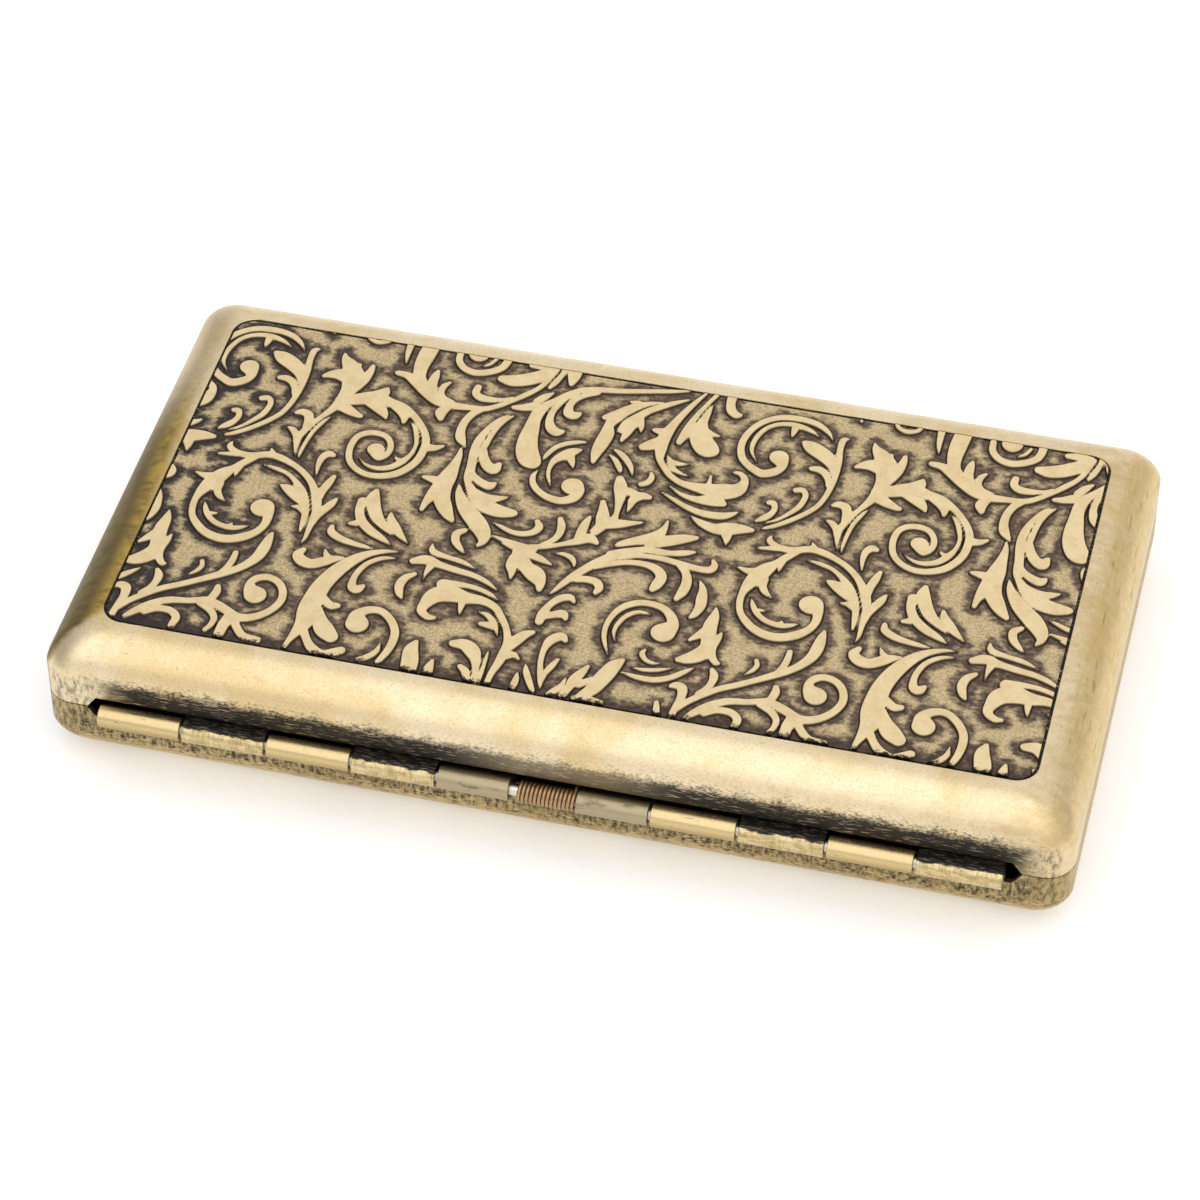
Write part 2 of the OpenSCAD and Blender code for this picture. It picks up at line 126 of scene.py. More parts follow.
# Strokes of the ornament, read off the photograph. Each point is u, v and half-width: u runs along
# the panel from its left edge and v across it from the hinge. A point without a half-width has the one
# before. A slash ends a stroke. The pattern repeats along u.
MOTIFS = {
    "left ring scroll": """
    69.4,45.8,.1 68.7,46.8,.3 67.6,47.7,.42 66.2,48.2,.43 64.6,48.3,.45 63,48,.42 61.5,47 60.5,45.6
    59.95,44,.45 59.85,42.3 60.3,40.7,.48 61.1,39.7,.5 62.1,39,.55 63.05,38.65,.6 64.2,39.2 64.85,40.1,.52
    64.6,41,.85 64.25,41.6,1.12 / 67.8,46,.1 66.8,46.65,.3 65.5,47.1,.4 64.2,47.2,.35 62.9,46.8,.32
    61.9,45.9 61.25,44.5,.33 61,43,.32 61.2,41.7,.25 62,40.4,.1 / 65,46.9,.5 64.95,46,.35 64.9,45.35,.15""",
    "leafy stem": """
    71.1,46.4,.12 70.5,46,.4 70.45,44.5 70.7,42.5,.42 70.85,40.5,.35 70.7,38.5,.38 70.4,36.5,.35 69.8,34.8
    68.6,33.2 67,31.6,.33 65.7,30.6,.28 64.9,30.2,.15 / 66.5,44.6,.4 67.5,44,.95 68.8,43.2,1 69.8,42.3,.85
    70.4,41.2,.55 70.6,40.2,.3 / 68,40.7,.32 68.8,40.75,.5 69.6,40.3 70.15,39.4,.42 70.4,38.4,.35 /
    67.1,36.9,.38 67.8,37.1,.4 68.3,36.4,.38 68.25,35.3 67.9,34.2 67.1,33,.3 66.1,31.8,.22 65,31.1,.1 /
    64.7,34.3,.35 65.2,34.3,.42 65.5,33.5,.38 65.3,32.6,.4 64.7,31.8,.45 63.9,31.1,.15""",
    "acanthus flower": """
    73.9,46.5,.12 74.3,45.5,.5 75.1,44.5,.95 75.9,43.2,1.2 76.2,41.9,1.3 76.1,40.6,.95 75.8,39.3,.68
    75.6,38,.65 75.1,36.8,.48 74.3,35.3,.35 73.6,33.9,.45 73,32,.42 73,30.6,.35 73.3,28.9,.1 / 76.1,44.9,.25
    76.1,44,.5 76.2,43,.9 / 72.65,42.1,.22 73.3,42.5,.5 74.3,42.8,.85 75.4,42.6,1.1 / 77.6,45,.3
    77.55,44,.48 77.3,42.6,.6 76.8,41.2 / 75.3,35.7,.12 74.8,34.7,.26 74.2,33,.28 73.9,31,.27 73.8,29.2,.22
    73.9,28.5,.1 / 71.45,35.5,.22 72.1,35.8,.5 72.9,35.5,.6 73.2,34.6,.55 73.3,33.4,.5 / 71.4,33,.2
    72,32.7,.42 72.6,31.9,.45 72.9,30.9,.4""",
    "branch and big spiral": """
    75.8,38.7,.8 77.5,39.3,.9 79.3,40,1 81,39.6,.75 82.7,39.2,.6 84,38.3,.5 85.1,37.2,.45 86.1,35.8
    86.7,34.2,.5 86.75,32.5 86.5,31 85.8,29.6 84.8,28.5 83.3,27.8,.45 81.8,27.7,.42 80.4,28.3 79.4,29.4
    78.95,30.8 78.9,32.2 79.2,33.4 80,34.15 81.1,34.4 82.2,34.1 82.9,33.3,.4 83.2,32.2 83,31.2,.42
    82.3,30.7,.55 81.7,31.8,1 / 79.3,40.1,1 80,41,.7 80.25,41.9,.15 / 75.9,37.9,.8 77,37.3,.7 78.1,36.8,.45
    78.6,36.7,.3 / 79,39.3,.9 80.1,38.5,.8 80.9,37.7,.55 81.3,37.1,.25 / 81.8,39.3,.7 82.8,38.5 83.3,37.6,.5
    83.4,36.9,.3 / 84.3,36.9,.15 84.9,36.2,.3 85.4,35,.33 85.75,33.5,.27 85.6,31.9,.3 85,30.6,.45
    84.1,29.5,.42 83,29,.35 82,28.95,.28 81.1,29.3,.2 80.3,30.1,.08 / 84.9,30.6,.35 84.3,30.9,.25
    84.1,31.2,.12 / 87,33.5,.6 87.9,33.6,.45 88.7,34.1,.22""",
    "comma under the branch": """
    77.5,29.8,.3 76.9,29.9,.5 76.4,29.2,.45 76.3,28,.35 76.5,26.4,.15""",
    "tops of the tile": """
    26,50.2,.4 26.2,48.7,.45 27.1,47.6,.48 28.4,47.2,.5 29.8,47.6 31,48.5 31.4,49.5 31.5,50.6 /
    28.1,50.3,1.2 / 29,48.5,.12 29.7,49,.25 30.2,50 / 31.6,46.9,.55 32.8,46.9,.9 34.2,47.4,1 35.6,48.3,.95
    36.4,49.2,.7 / 34.3,49.9,.4 35.6,50,.6 36.8,49.8 / 29.4,44.9,.45 29.4,43.9,.5 30.1,43.3,.55
    31.4,43.25,.45 32.6,43.5,.3 33.6,44 / 20.1,45.1,.4 21.3,44.9,.55 22.6,43.9,.65 24,42.7,.7 25.6,41.6
    27.3,41.3,.6 29.2,41.4,.45 31,41.6,.42 32.3,42.4,.38 33.6,43.6,.35 34.8,44.9,.4 35.8,46.1,.35 36.4,47.2
    36.8,48.4 37.2,49.8 / 22.6,50.5,1 22.4,48.5 22.35,46.5,.85 22.7,44.9,.7 23.8,43.4,.5 / 24.4,46.5,.22
    24.3,45.6,.5 24.3,44.3,.6 24.8,42.9,.5 25.6,41.9,.4 / 26.2,44.9,.2 25.7,44.2,.4 25.6,43.2,.42
    26.1,42.3,.4 27.2,41.7,.45 / 20.2,50.4,.45 20.3,48.5,.35 20.5,47,.15 / 27,40.9,.5 26.5,39.9,.7
    26.7,38.9,.4 / 30.6,41.4,.5 29.9,40.4 29.45,39 29.4,37.5,.55 29.7,36.3,.6 30.3,35.4,.3 30.6,35.1,.1 /
    38.1,50.4,.35 37.9,49 37.5,47.7,.4 37.1,46.7,.25 / 39.2,50.2,.9 39.3,49,.7 39.3,47.9,.35 / 75.6,50.4,.3
    76,49.5 77,49.1,.35 78.1,49.5,.3 78.5,50.4 / 76.8,50.4,.35 / 71.8,49.6,.25""",
    "tall bud": """
    30.2,34.7,.2 30.3,33.5,.4 30.2,31.8,.65 30,30,1 29.8,28.3,1.15 30.2,26.6,1 30.9,25.2,.9 31.6,24.1,.65
    32.2,23.4,.35 / 27.4,29.3,.25 28.3,29.2,.5 29.3,29,.7 / 28.6,24.3,.3 28.75,25.4,.45 29.1,26.8,.7
    29.5,28,.9""",
    "forked acanthus": """
    34,41.3,.1 33.2,40.4,.3 32.4,38.8,.4 31.8,36.8,.5 31.7,34.8,.55 32,32.3 32.2,30.5,.6 32.4,29.4,.4
    33.4,27.8,.6 34.8,26.6,1 36.6,26,.95 38,26,.65 38.5,26.05,.4 / 34.4,41.2,.15 33.6,40.2,.35 33.1,38.8
    32.8,37.2 32.6,35.6,.4 32.3,34.5 / 32.6,35,.5 33,33.8,.6 33.7,32.7,.7 34.5,32.3,.75 34.9,33.2,.35 /
    32.1,32,.3 32.6,30.9,.4 33.6,30,.55 34.7,29.6,.6 35.2,30.1,.3 / 32.6,29.6,.2 33.6,28.5,.3 35,27.6,.7
    36.2,27.9,.45 37.1,28.3,.15 / 31.5,29.1,.15 32,27.5,.55 33.2,25.5,.9 34.9,23.7,1.1 36,22.2,.9 36.3,21,.5
    35.9,20.2,.2 / 34,22.2,.35 33.3,21.5,.5 33.5,20.3 34.3,19.3,.35 34.9,18.8,.1""",
    "curling leaves": """
    42,47.7,.35 40.6,47.1,.4 39.4,46.1,.45 38.3,44.8 37.4,43.6,.6 36.9,42.2,.75 36.8,41,.78 36.85,39.5,.95
    36.9,38,1.12 37.2,36.3,1.28 37.8,34.9,1.3 38.3,34.4,1 / 34,42.6,.3 35,42.8,.5 36.2,43.3,.7 /
    36.4,44.2,.55 37,45.1,.5 37.8,46,.15 / 40.3,46.6,.4 39.3,45.5,.42 38.75,44.2 38.4,42.8 38.45,41.4,.5
    38.9,40.3,.65 39.6,39.8 40.3,40,.3 / 42.5,47.2,.4 41.2,46.4 40.3,45.4,.45 40,44.2,.5 40.2,43.1,.65
    40.9,42.9,.6 41.4,43.3,.3 / 52.3,49.9,.15 50.5,49.4,.3 48,48.8,.35 45,48.1,.4 42.5,47.7,.45
    40.6,47.1,.5""",
    "feathered leaves": """
    50,47.3,.15 48.6,46.8,.35 47.3,46,.6 46.2,44.9,.75 45.4,43.7,.85 45,42.2,.6 45.1,40.8,.85 44.9,39.2
    44.7,37.6,.65 44.7,36.1,.3 / 44.2,43.4,.35 45.2,44,.7 / 46.5,46.6,.25 47.3,46.6,.4 / 52.7,48.5,.12
    51.4,47.7,.32 50,46.7,.45 48.7,45.6,.5 47.8,44.4,.6 47,43,.75 46.5,41.8,.5 / 47.6,43,.5 47.2,41.5
    46.9,40.2,.25 / 48,44,.6 48.5,42.8,.35 48.6,42.1,.15 / 54.2,49.9,.2 53.3,48,.35 52.5,46,.45
    51.9,44.2,.55 51.5,42.6,.7 51.3,41.2,.8 51.4,39.8,.7 51.7,38.2,.45 52.6,36.8,.4 53.4,35.9,.42
    54.7,35.1,.45 56.3,34.8,.65 58,34.7,.95 59.5,34.8,1.2 60.8,35.3,1 61.4,36.4,.6 61.3,37.4,.45 60.7,38,.35
    60,38.1,.2 / 50,42.7,.3 50.9,42.6,.6 / 49.4,39.7,.5 50.3,40.3,.8 51.3,41.2 / 55.4,49.9,.3 54.8,48.4
    54.1,46.4,.35 53.6,44.4,.45 53.4,42.8,.55 53.1,41.4,.4 / 55.3,48.1,.15 55.1,46.8,.4 54.9,45.2,.6
    54.9,43.6,1.1 55.4,42.3,1.3 56.2,41.2,1.35 56.8,40.9,.95 / 57.2,43.45,.15 56.4,43.5,.35 55.5,43.8,.6 /
    57.15,50.3,.6 57.2,49,.55 57.5,47.9,.6 58.1,47.3,.55 58.6,47.3,.35""",
    "leaf tips": """
    57.7,36.9,.2 57.75,36,.28 57.8,35.2,.4 / 52.4,38.9,.15 53,38.1,.4 54,38,.3 54.9,38.2,.1 / 52.9,38,.4
    53.4,37.1 54.3,36.6,.25 55.4,36.3,.08 / 53.7,34.3,.12 55.2,33.3,.3 57,32.9,.5 58.8,33.2,.9 60,32.9,.4 /
    53,33.2,.1 54.6,32.3,.3 56.4,31.4,.4 58.3,30.9,.5 60.2,31,.55 61.2,31.5,.35 61.8,32,.12 / 57,30.2,.1
    58.3,29.4,.5 59.9,28.9,.75 61.3,29.2,.95 62.7,29.5,.7 63.9,29.6,.3 / 61.2,28.8,.8 61.5,27.8,.5
    61.6,26.8,.15""",
    "middle scroll": """
    43.3,39,.12 42.2,38.7,.3 41,38.1,.35 40.1,37.2 39.5,35.8,.3 39.4,35.3,.15 / 43,37.6,.2 42.2,37.1,.6
    41.5,36.4,.7 40.6,35.3,.45 40.35,34,.3 40.5,32.8,.28 40.9,31.8,.2 41.2,31,.08 / 42,36.4,.6 42.5,35.4,.4
    42.8,34.7,.15 / 39.2,33.3,.12 38.95,32.2,.35 39.3,31,.42 40.2,30,.45 41.4,29.35,.5 42.8,29.2,.55
    44,29.9,.65 44.2,31,.8 43.5,31.7,1.28 / 46.6,38.5,.2 47.4,38,.4 48.2,37.2,.42 48.9,36.2,.35 49.4,35,.12
    / 46.2,37.6,.15 47,36.9,.35 47.6,36,.38 47.9,35.4,.3 / 51.3,35.8,.25 51.5,35,.4 51.2,34.2
    50.6,33.8,.35""",
    "crossed leaves": """
    48.2,34.1,.5 48.6,32.8,.8 48.9,31.4,.65 49.05,30,.45 49.15,28.5,.35 49.1,27.2,.6 / 52,32,.35 51.1,32,.6
    50.4,31.2,.55 50.3,30.2,.35 50.2,29.2,.12 / 49.6,32.4,.6 50.5,32 / 47.3,30.1,.35 47.6,29,.55
    47.9,27.6,.8 48,26.4,.7 47.6,25.4,.6 / 52.3,28,.12 51.2,27.6,.35 49.9,27.2,.65 48.6,26.9,.8 /
    46.5,27.4,.25 46.3,26.3,.5 46.2,25,.6 46.3,23.9,.7 / 48.2,23.7,.3 47.2,24.2,.7 46.2,23.5,.55
    44.8,22.7,.35 43.2,21.9 41.5,21.4,.4 / 43.5,26.4,.35 43.9,25.3,.5 43.95,24,.45 43.5,22.9,.4 42.6,22,.35
    / 41.2,25.4,.35 41.6,24.6,.5 41.2,23.7,.45 40.1,23.15,.4 38.8,23.2,.35 37.6,23.7,.28 36.7,24.1,.1 /
    37.1,22.1,.15 38.5,21.7,.35 40.2,21.3,.5 41.8,21,.55 / 44.3,21.1,.1 45.2,21.15,.3 46.1,20.8,.38
    46.6,20.1,.28 46.7,19.6,.12""",
    "drooping leaf": """
    38.4,21.3,.2 39.9,20.8,.4 41.3,20.4,.5 42.8,19.9 44.3,19.3,.15 / 40,20.2,.3 40.9,19.2,.9 41.9,18.2
    43,17.4,1.1 43.8,16.3,.65 44,15.3,.35 / 40.1,19.4,.5 40.2,18.2,.65 40.5,17.2,.45 40.6,16.3,.2""",
    "long plume": """
    54.8,28.8,.2 54.7,27.6,.4 54.3,26.5,.7 53.4,25.6,.8 52,24.9,.6 50.8,24.2,.45 50.3,23.8,.2 / 58.4,27,.3
    57.2,26.6,.65 55.9,26,.8 54.6,25.4 53.6,24.8,.5 / 58.7,24.8,.2 57.6,24.4,.45 56,24,.4 54,24,.5 52.4,23.5
    51,22.9 49.9,22.4,.4 / 60.9,24,.25 61.2,23.2,.45 60.8,22.5,.5 59.4,22.4,.45 57.5,22.7 55.4,23,.4
    53.3,22.9,.35 51.5,22.3,.4 50.2,21.9,.6 49,20.8 47.9,19.4,.55 47,18.1,.5 46.2,16.7,.4 45.6,15.5,.25
    45.2,14.9,.08 / 49,20,.25 50.4,20.9,.4 52.2,21.6 54,21.7,.45 55.4,21.2,.6 56.1,20.2,.65 55.9,19
    55.6,18.2,.4 / 57.5,22.5,.4 58.5,21.4,.5 58.9,20,.6 58.8,18.6 58.4,17.4,.35 / 60.2,20.7,.15
    60.8,19.4,.45 61,18,.65 61.1,16.8,.6 60.8,15.6,.45 60.4,15,.2 / 47.4,17.8,.5 48.5,18 49.6,17.8,.55
    50.1,17,.5 49.9,16.3,.35""",
    "palmette and big stem": """
    23.1,25.9,.35 23.1,24.6,.8 23.6,23.2 24.3,21.9,.75 25.4,20.7,.5 26.4,19.8,.2 / 22.1,24,.6 22.2,22.4,.55
    22.9,20.9,.6 24.2,19.7 25.6,18.9,.45 26.8,18.2,.12 / 21.7,20.3,.25 22.4,20.5,.45 / 25.6,22.8,.25
    25.9,21.9,.5 26.6,20.8,.65 27.5,19.8,.45 28.6,18.8,.1 / 20,19.4,.3 20.2,18.5,.5 21.3,17.8 22.8,17.4,.4
    24.2,17.2,.3 25.2,17.1,.1 / 28,17.3,.1 26.6,17,.3 25,16.2,.5 23.6,14.8,.75 22.4,12.8,.95 21.6,10.6,1.05
    21.3,8.6,1.15 21.2,6.5,1.2 21.3,4.6,1 20.9,3,.6 20.5,1.6,.35 20.3,.4,.3 / 28,16.3,.1 26.6,15.9,.3
    25.4,14.9,.35 24.75,13.6,.38 24.5,12.2,.4 24.7,10.9,.55 25.3,10.7,.6 25.8,11.3,.3 / 22.2,8.6,.5
    23.2,7.7,.55 24,7.8,.4 / 21.8,6.5,1 22.8,5.2,.9 23.7,4,1.1 24.6,3.2,.85 / 21.6,3.4,.5 22.4,2 23.3,1,.6
    24.5,.6,.5 25.5,1,.6 26.2,1.5,.55""",
    "spiral under the stem": """
    30.4,.8,.35 30.9,2.4,.45 31.1,4,.5 30.9,5.6 30,7.1 28.7,8.1 27.4,8,.55 26.4,7,.75 26.75,5.7,1.28 /
    29.9,3.4,.15 29.8,2.2,.35 29.1,1.2,.4 28.3,.7,.3""",
    "comma over the spiral": """
    30.6,14.4,.3 29.8,13.6,.5 29.5,12.4,.55 29.8,11.2,.45 30.2,10.6,.2""",
    "trailing acanthus": """
    31.2,19.3,.15 31.6,18.2,.45 33.2,17.75,.35 35,17.4 36.8,16.7,.1 / 29.9,16.3,.45 31.2,16.8,.7
    32.8,16.4,.5 34.8,16,.45 36.6,15.7,.4 38.2,15.1,.35 39.6,14.2,.15 / 31.9,16,.5 31.7,14.8,.25
    31.65,13.8,.1 / 34.4,8.5,.25 33.6,8.5,.45 32.8,9.2,.55 32.9,10.3,.7 33.6,11.8,1.1 35,12.4,1.2
    36.8,12.2,.85 38.6,12.2,.6 40.2,11.5,.5 41.3,10.1,.45 42,9,.42 42.5,7.8,.45 42.9,6.5,.6 42.8,5
    42.6,3.5,.5 42.3,2,.4 42.2,.4,.35 / 34,13.6,.8 36,14,.4 37.8,13.8,.35 39.2,13.3,.3 40.3,12.7,.1 /
    36.6,11.6,.5 36.7,10.4,.3 36.8,9.7,.12 / 38.7,10.5,.12 39.7,10.2,.35 40.6,9.3,.4 41.2,8.2,.25
    41.5,7.5,.08 / 39.3,8.8,.3 40.1,8.8,.45 40.9,8.5,.3""",
    "leaves along the lower edge": """
    45,8.9,.3 44.2,8.3,.6 43.6,7.3,.7 43.1,6.2,.6 / 43.2,5,.6 43.9,5.2,.4 44.5,4.7,.2 / 37.3,5.3,.5
    38.5,5.4,.8 39.5,4.7,.9 40.2,3.5,.6 40.6,2,.4 40.8,.5,.35 / 41.2,5,.15 41.2,3.8,.25 41.3,2 41.3,.4 /
    38.9,2.2,.35 39.6,1.6,.5 40,.6,.4 / 33.5,4.6,.3 33.3,3.3,.8 33.6,1.8,.95 33.8,.3,.9 / 35.9,2.4,.2
    35.8,1.4,.5 35.8,.3,.65 / 44.9,2.8,.15 45,1.6,.4 44.9,.3 / 45.45,4.1,.15 45.8,3,.4 46.5,1.6 47.1,.5,.3 /
    48.6,8.5,.3 48,9,.6 47.1,8.2 46.75,6.8,.4 46.8,5.2,.35 47.1,3.6 47.5,2.2 47.7,1.2,.15 / 48.5,5.6,.25
    48.1,4.5,.4 47.7,3.3,.35 47.6,2.2,.3 / 49.9,3.1,.15 49.8,2,.35 49.2,1,.45 48.8,.5,.35 / 51.8,5.4,.25
    51.4,4.4,.5 50.9,3.2,.65 50.6,1.9,.5 50.2,.7 / 55.2,7.2,.2 54.5,6.3,.75 54,5,.95 53.5,3.6 53,2.2,.8
    52.2,1.1,.6 / 52.6,3.6,.4 51.5,2.6,.5 / 51.5,.6,.4 53,.7,.5 54.4,.6,.3""",
    "hook over the leaves": """
    48,14.4,.25 47.4,14.9,.5 46.4,14.4 45.6,13.1,.45 45.3,11.8,.6 45.2,10.6,.5 / 45.6,11.6,.5 46.5,12
    47.3,12.3,.6 47.8,11.7,.3""",
    "lower ring scroll": """
    53.4,7.5,.08 52.8,8.8,.25 52.3,10.3,.33 52.2,12,.35 52.6,13.7,.4 53.4,15,.45 54.7,15.85 56.1,16
    57.5,15.6,.5 58.5,14.6,.6 58.9,13.4,.75 58.2,12.1,1.35 / 56.3,14.5,.12 55,14.5,.28 53.9,13.6,.32
    53.3,12.2,.3 53.2,10.9,.25 53.6,9.7,.1 / 57.05,9.3,.15 56.8,8.6,.35 57.3,7.8,.32 58.1,7.5,.25
    58.9,7.6,.1 / 56.2,6.4,.1 57.4,6.3,.25 58.9,6.6,.27 60.2,7.2,.12 / 55.4,5.4,.12 57,5.1,.35 58.8,5.1,.4
    60.4,5.8 61.6,6.9,.35 62.5,7.8,.12""",
    "thorny ring": """
    66.1,29.3,.15 66.1,28.4,.4 67.2,27.7,.45 68.8,27.6,.5 70.5,28.2 72,28 73.6,27.3,.42 75,26.4
    76.2,25.2,.45 77,24,.5 77.7,22.5,.6 78.2,20.5,.5 78.2,18,.35 78.2,16.5,.25 78,15.6,.1 / 70.5,29.4,.1
    70.8,28.8,.3 71.2,28.2,.4 / 65.1,27.1,.15 66.2,27.3,.3 67.5,27.5,.35 / 69.2,27.4,.45 68.3,26.3,.5
    67.5,25.2 66.6,24,.9 66,22.8,1 65.4,21.5,.75 65,20,.45 65,18.5,.42 65.4,17 66.3,15.8,.5 67.5,14.8,.55
    69,14.3,.6 70.4,14.4 71.8,15.1 72.9,16.2,.5 73.4,17.6 73.2,19.2,.7 72.4,19.9,1.35 / 68,24,.1 68,25,.35
    68.2,26,.4 / 63.6,23.7,.15 64.6,23.4,.4 65.6,23.3,.7 / 66.6,22.5,.7 66.8,21.5,.5 67.3,20.6,.4
    68.1,20,.12 / 66.1,19.4,.1 66.5,18.3,.35 67.2,17.2,.38 68.3,16.4 69.7,16.1 70.8,16.3,.32 71.7,16.8,.1 /
    67.9,17.9,.12 67.3,17.8,.25 66.9,17.7,.3 / 69.9,16.9,.12 69.9,16.4,.3""",
    "leaves beside the ring": """
    70.6,26.5,.1 72,26.25,.3 73.5,25.7 74.8,24.6,.4 75.7,23.3,.65 76.5,21.8,.6 77.1,20.2,.45 77.3,18.6,.35
    77.35,17.4,.2 / 73.4,23.8,.25 74.3,23.4,.65 75.3,22.6,.7 76.2,21.9,.6 / 75.4,20.9,.15 76.1,20.9,.35
    76.8,20.5,.45 / 78.5,26.5,.3 78.2,25.3,.5 77.9,24 77.8,22.8 / 79.8,23.2,.2 79.4,22.2,.5 78.9,21.1
    78.5,20,.42 78.3,18.8,.35 / 78.6,14.7,.35 78.2,13.8,.6 78.9,13,.75 80,12.8,.7 81.1,13.4 82.2,14.1,.5
    83.3,14.5,.12 / 80.8,15.3,.15 81.1,14.6,.35 81.6,14,.5""",
    "tall leaf": """
    62.8,17.2,.12 62.9,15.8,.55 62.8,14.2,.8 63,12.5 63.2,11,.9 62.6,9.8,.95 61.6,9,.75 60.6,8.6,.35 /
    61.1,11.7,.2 61.8,12.5,.45 62.5,13.5,.6 / 64.2,13.6,.15 64,12.6,.4 63.6,11.2,.6 63.9,10,.5 64.5,9.1,.4
    64.9,9.1,.2""",
    "long stem": """
    62.1,1.6,.4 63,2.9,.42 64.3,4.2 65.7,5.4 67.5,6.5 69.3,7.7 71,8.9,.5 72.3,9.9 73.3,11,.55 74.1,12.4,.65
    74.4,13.9,.7 74.5,15.4,.5 74.6,16.4,.2 / 64.4,8,.3 64.8,7.2,.5 64.8,6.2,.45 64.5,5.2,.42 63.8,4.2,.4 /
    71.7,12.5,.35 71.7,11.4,.42 71.5,10.2 71.1,9.2,.4 / 60.7,4.6,.2 61.3,4.9,.5 62,4.6,.6 62.2,3.4,.5
    62,2,.42 61.8,.4 / 68.6,10.4,.3 68.8,9.7,.32 68.5,8.9,.28 67.8,8.1,.08""",
    "right-hand spiral": """
    75.6,6.8,1.25 74.9,7.5,.8 74.6,8.4,.5 75,9.2 76,9.7,.48 77.3,9.3 78.2,8.2 78.5,6.7 78,5.2 77,4,.5
    75.8,3.3,.55 74.6,3.2,.6 73.4,3.8 72.2,4.4 70.8,4.8,.5 69,4.3,.42 67,3.9,.5 65.4,2.9,.55 64.2,1.7,.5
    63.2,.5,.3 / 71.4,7.1,.35 71.5,6.3,.5 71.3,5.3 / 65,1.6,.4 66.2,2.4,.45 67.6,2.4,.5 68.5,1.6 68.4,.3,.42
    / 70.3,4.2,.4 71.6,3.5,.45 72.4,2.5,.42 72.4,1.4,.35 72,.5,.3 / 74,3.2,.7 73.7,1.8,.65 73.6,.2,.6 /
    74.5,2.8,.5 75.2,1.6 76.2,.6 77.8,.4,.45 / 59.9,2,.3 60.1,1.1,.4 60.3,.2""",
}


# ---------------------------------------------------------------------------- meshes

def link(obj):
    bpy.context.scene.collection.objects.link(obj)
    return obj


def add_mesh(name, points, faces, material=None, sharp=EDGE_SHARP):
    """A new object from points in millimetres."""
    mesh = bpy.data.meshes.new(name)
    mesh.from_pydata((np.asarray(points, float) * MM).tolist(), [], [list(map(int, f)) for f in faces])
    mesh.validate()
    smooth(mesh, sharp)
    if material:
        mesh.materials.append(material)
    return link(bpy.data.objects.new(name, mesh))


def smooth(mesh, sharp=EDGE_SHARP):
    mesh.shade_smooth()
    mesh.set_sharp_from_angle(angle=math.radians(sharp))


def face_outwards(obj):
    """Turn the faces of a closed mesh to the outside."""
    bm = bmesh.new()
    bm.from_mesh(obj.data)
    bmesh.ops.recalc_face_normals(bm, faces=bm.faces)
    bm.to_mesh(obj.data)
    bm.free()


def loft(name, loops, material=None, sharp=EDGE_SHARP):
    """A closed skin over loops with the same number of points, with a flat cap on the first and last."""
    count = len(loops[0])
    faces = [list(range(count)), list(range((len(loops) - 1) * count, len(loops) * count))]
    for level in range(len(loops) - 1):
        start = level * count
        for k in range(count):
            after = (k + 1) % count
            faces.append([start + k, start + after, start + count + after, start + count + k])
    obj = add_mesh(name, np.vstack(loops), faces, material, sharp)
    face_outwards(obj)
    smooth(obj.data, sharp)
    return obj


def rounded_loop(inset, radius, z, steps=8):
    """The case's outline, a rectangle with round corners, drawn inset from the wall at height z."""
    corner_x, corner_y = HALF_L - inset - radius, HALF_W - inset - radius
    points = []
    for quarter, (sx, sy) in enumerate([(1, 1), (-1, 1), (-1, -1), (1, -1)]):
        for k in range(steps + 1):
            turn = math.pi / 2 * (quarter + k / steps)
            x = sx * corner_x + radius * math.cos(turn)
            y = sy * corner_y + radius * math.sin(turn)
            points.append((CENTRE_X + x, CENTRE_Y + y, z))
    return np.array(points)


def prism(name, outline, low, high):
    """An outline of X and Z swept along Y from low to high."""
    return loft(name, [np.array([(x, y, z) for x, z in outline]) for y in (low, high)])


def cut_away(obj, cutters):
    """Take the cutters out of obj and delete them."""
    for cutter in cutters:
        modifier = obj.modifiers.new("cut", "BOOLEAN")
        modifier.object = cutter
        modifier.solver = "EXACT"
    bpy.context.view_layer.update()
    evaluated = obj.evaluated_get(bpy.context.evaluated_depsgraph_get())
    mesh = bpy.data.meshes.new_from_object(evaluated)
    obj.modifiers.clear()
    obj.data = mesh
    for cutter in cutters:
        bpy.data.objects.remove(cutter)


def round_edges(obj, width, segments=3):
    """Bevel modifier, and shading that keeps flat faces flat. The mesh itself isn't changed."""
    weld = obj.modifiers.new("weld", "WELD")
    weld.merge_threshold = 0.0001 * MM
    bevel = obj.modifiers.new("round", "BEVEL")
    bevel.width = width * MM
    bevel.segments = segments
    bevel.limit_method = "ANGLE"
    bevel.angle_limit = math.radians(EDGE_SHARP)
    for polygon in obj.data.polygons:
        polygon.use_smooth = True
    flatten(obj)


def flatten(obj):
    """Shading that follows the large faces, with the sharp edges kept."""
    normals = obj.modifiers.new("normals", "WEIGHTED_NORMAL")
    normals.keep_sharp = True


# ---------------------------------------------------------------------------- relief panel

def read_strokes(text):
    """Strokes out of a motif's text: rows of u, v and half-width."""
    strokes = []
    for part in text.split("/"):
        rows = []
        for point in part.split():
            u, v, *given = [float(n) for n in point.split(",")]
            rows.append([u, v, given[0] if given else rows[-1][2]])
        strokes.append(np.array(rows))
    return strokes


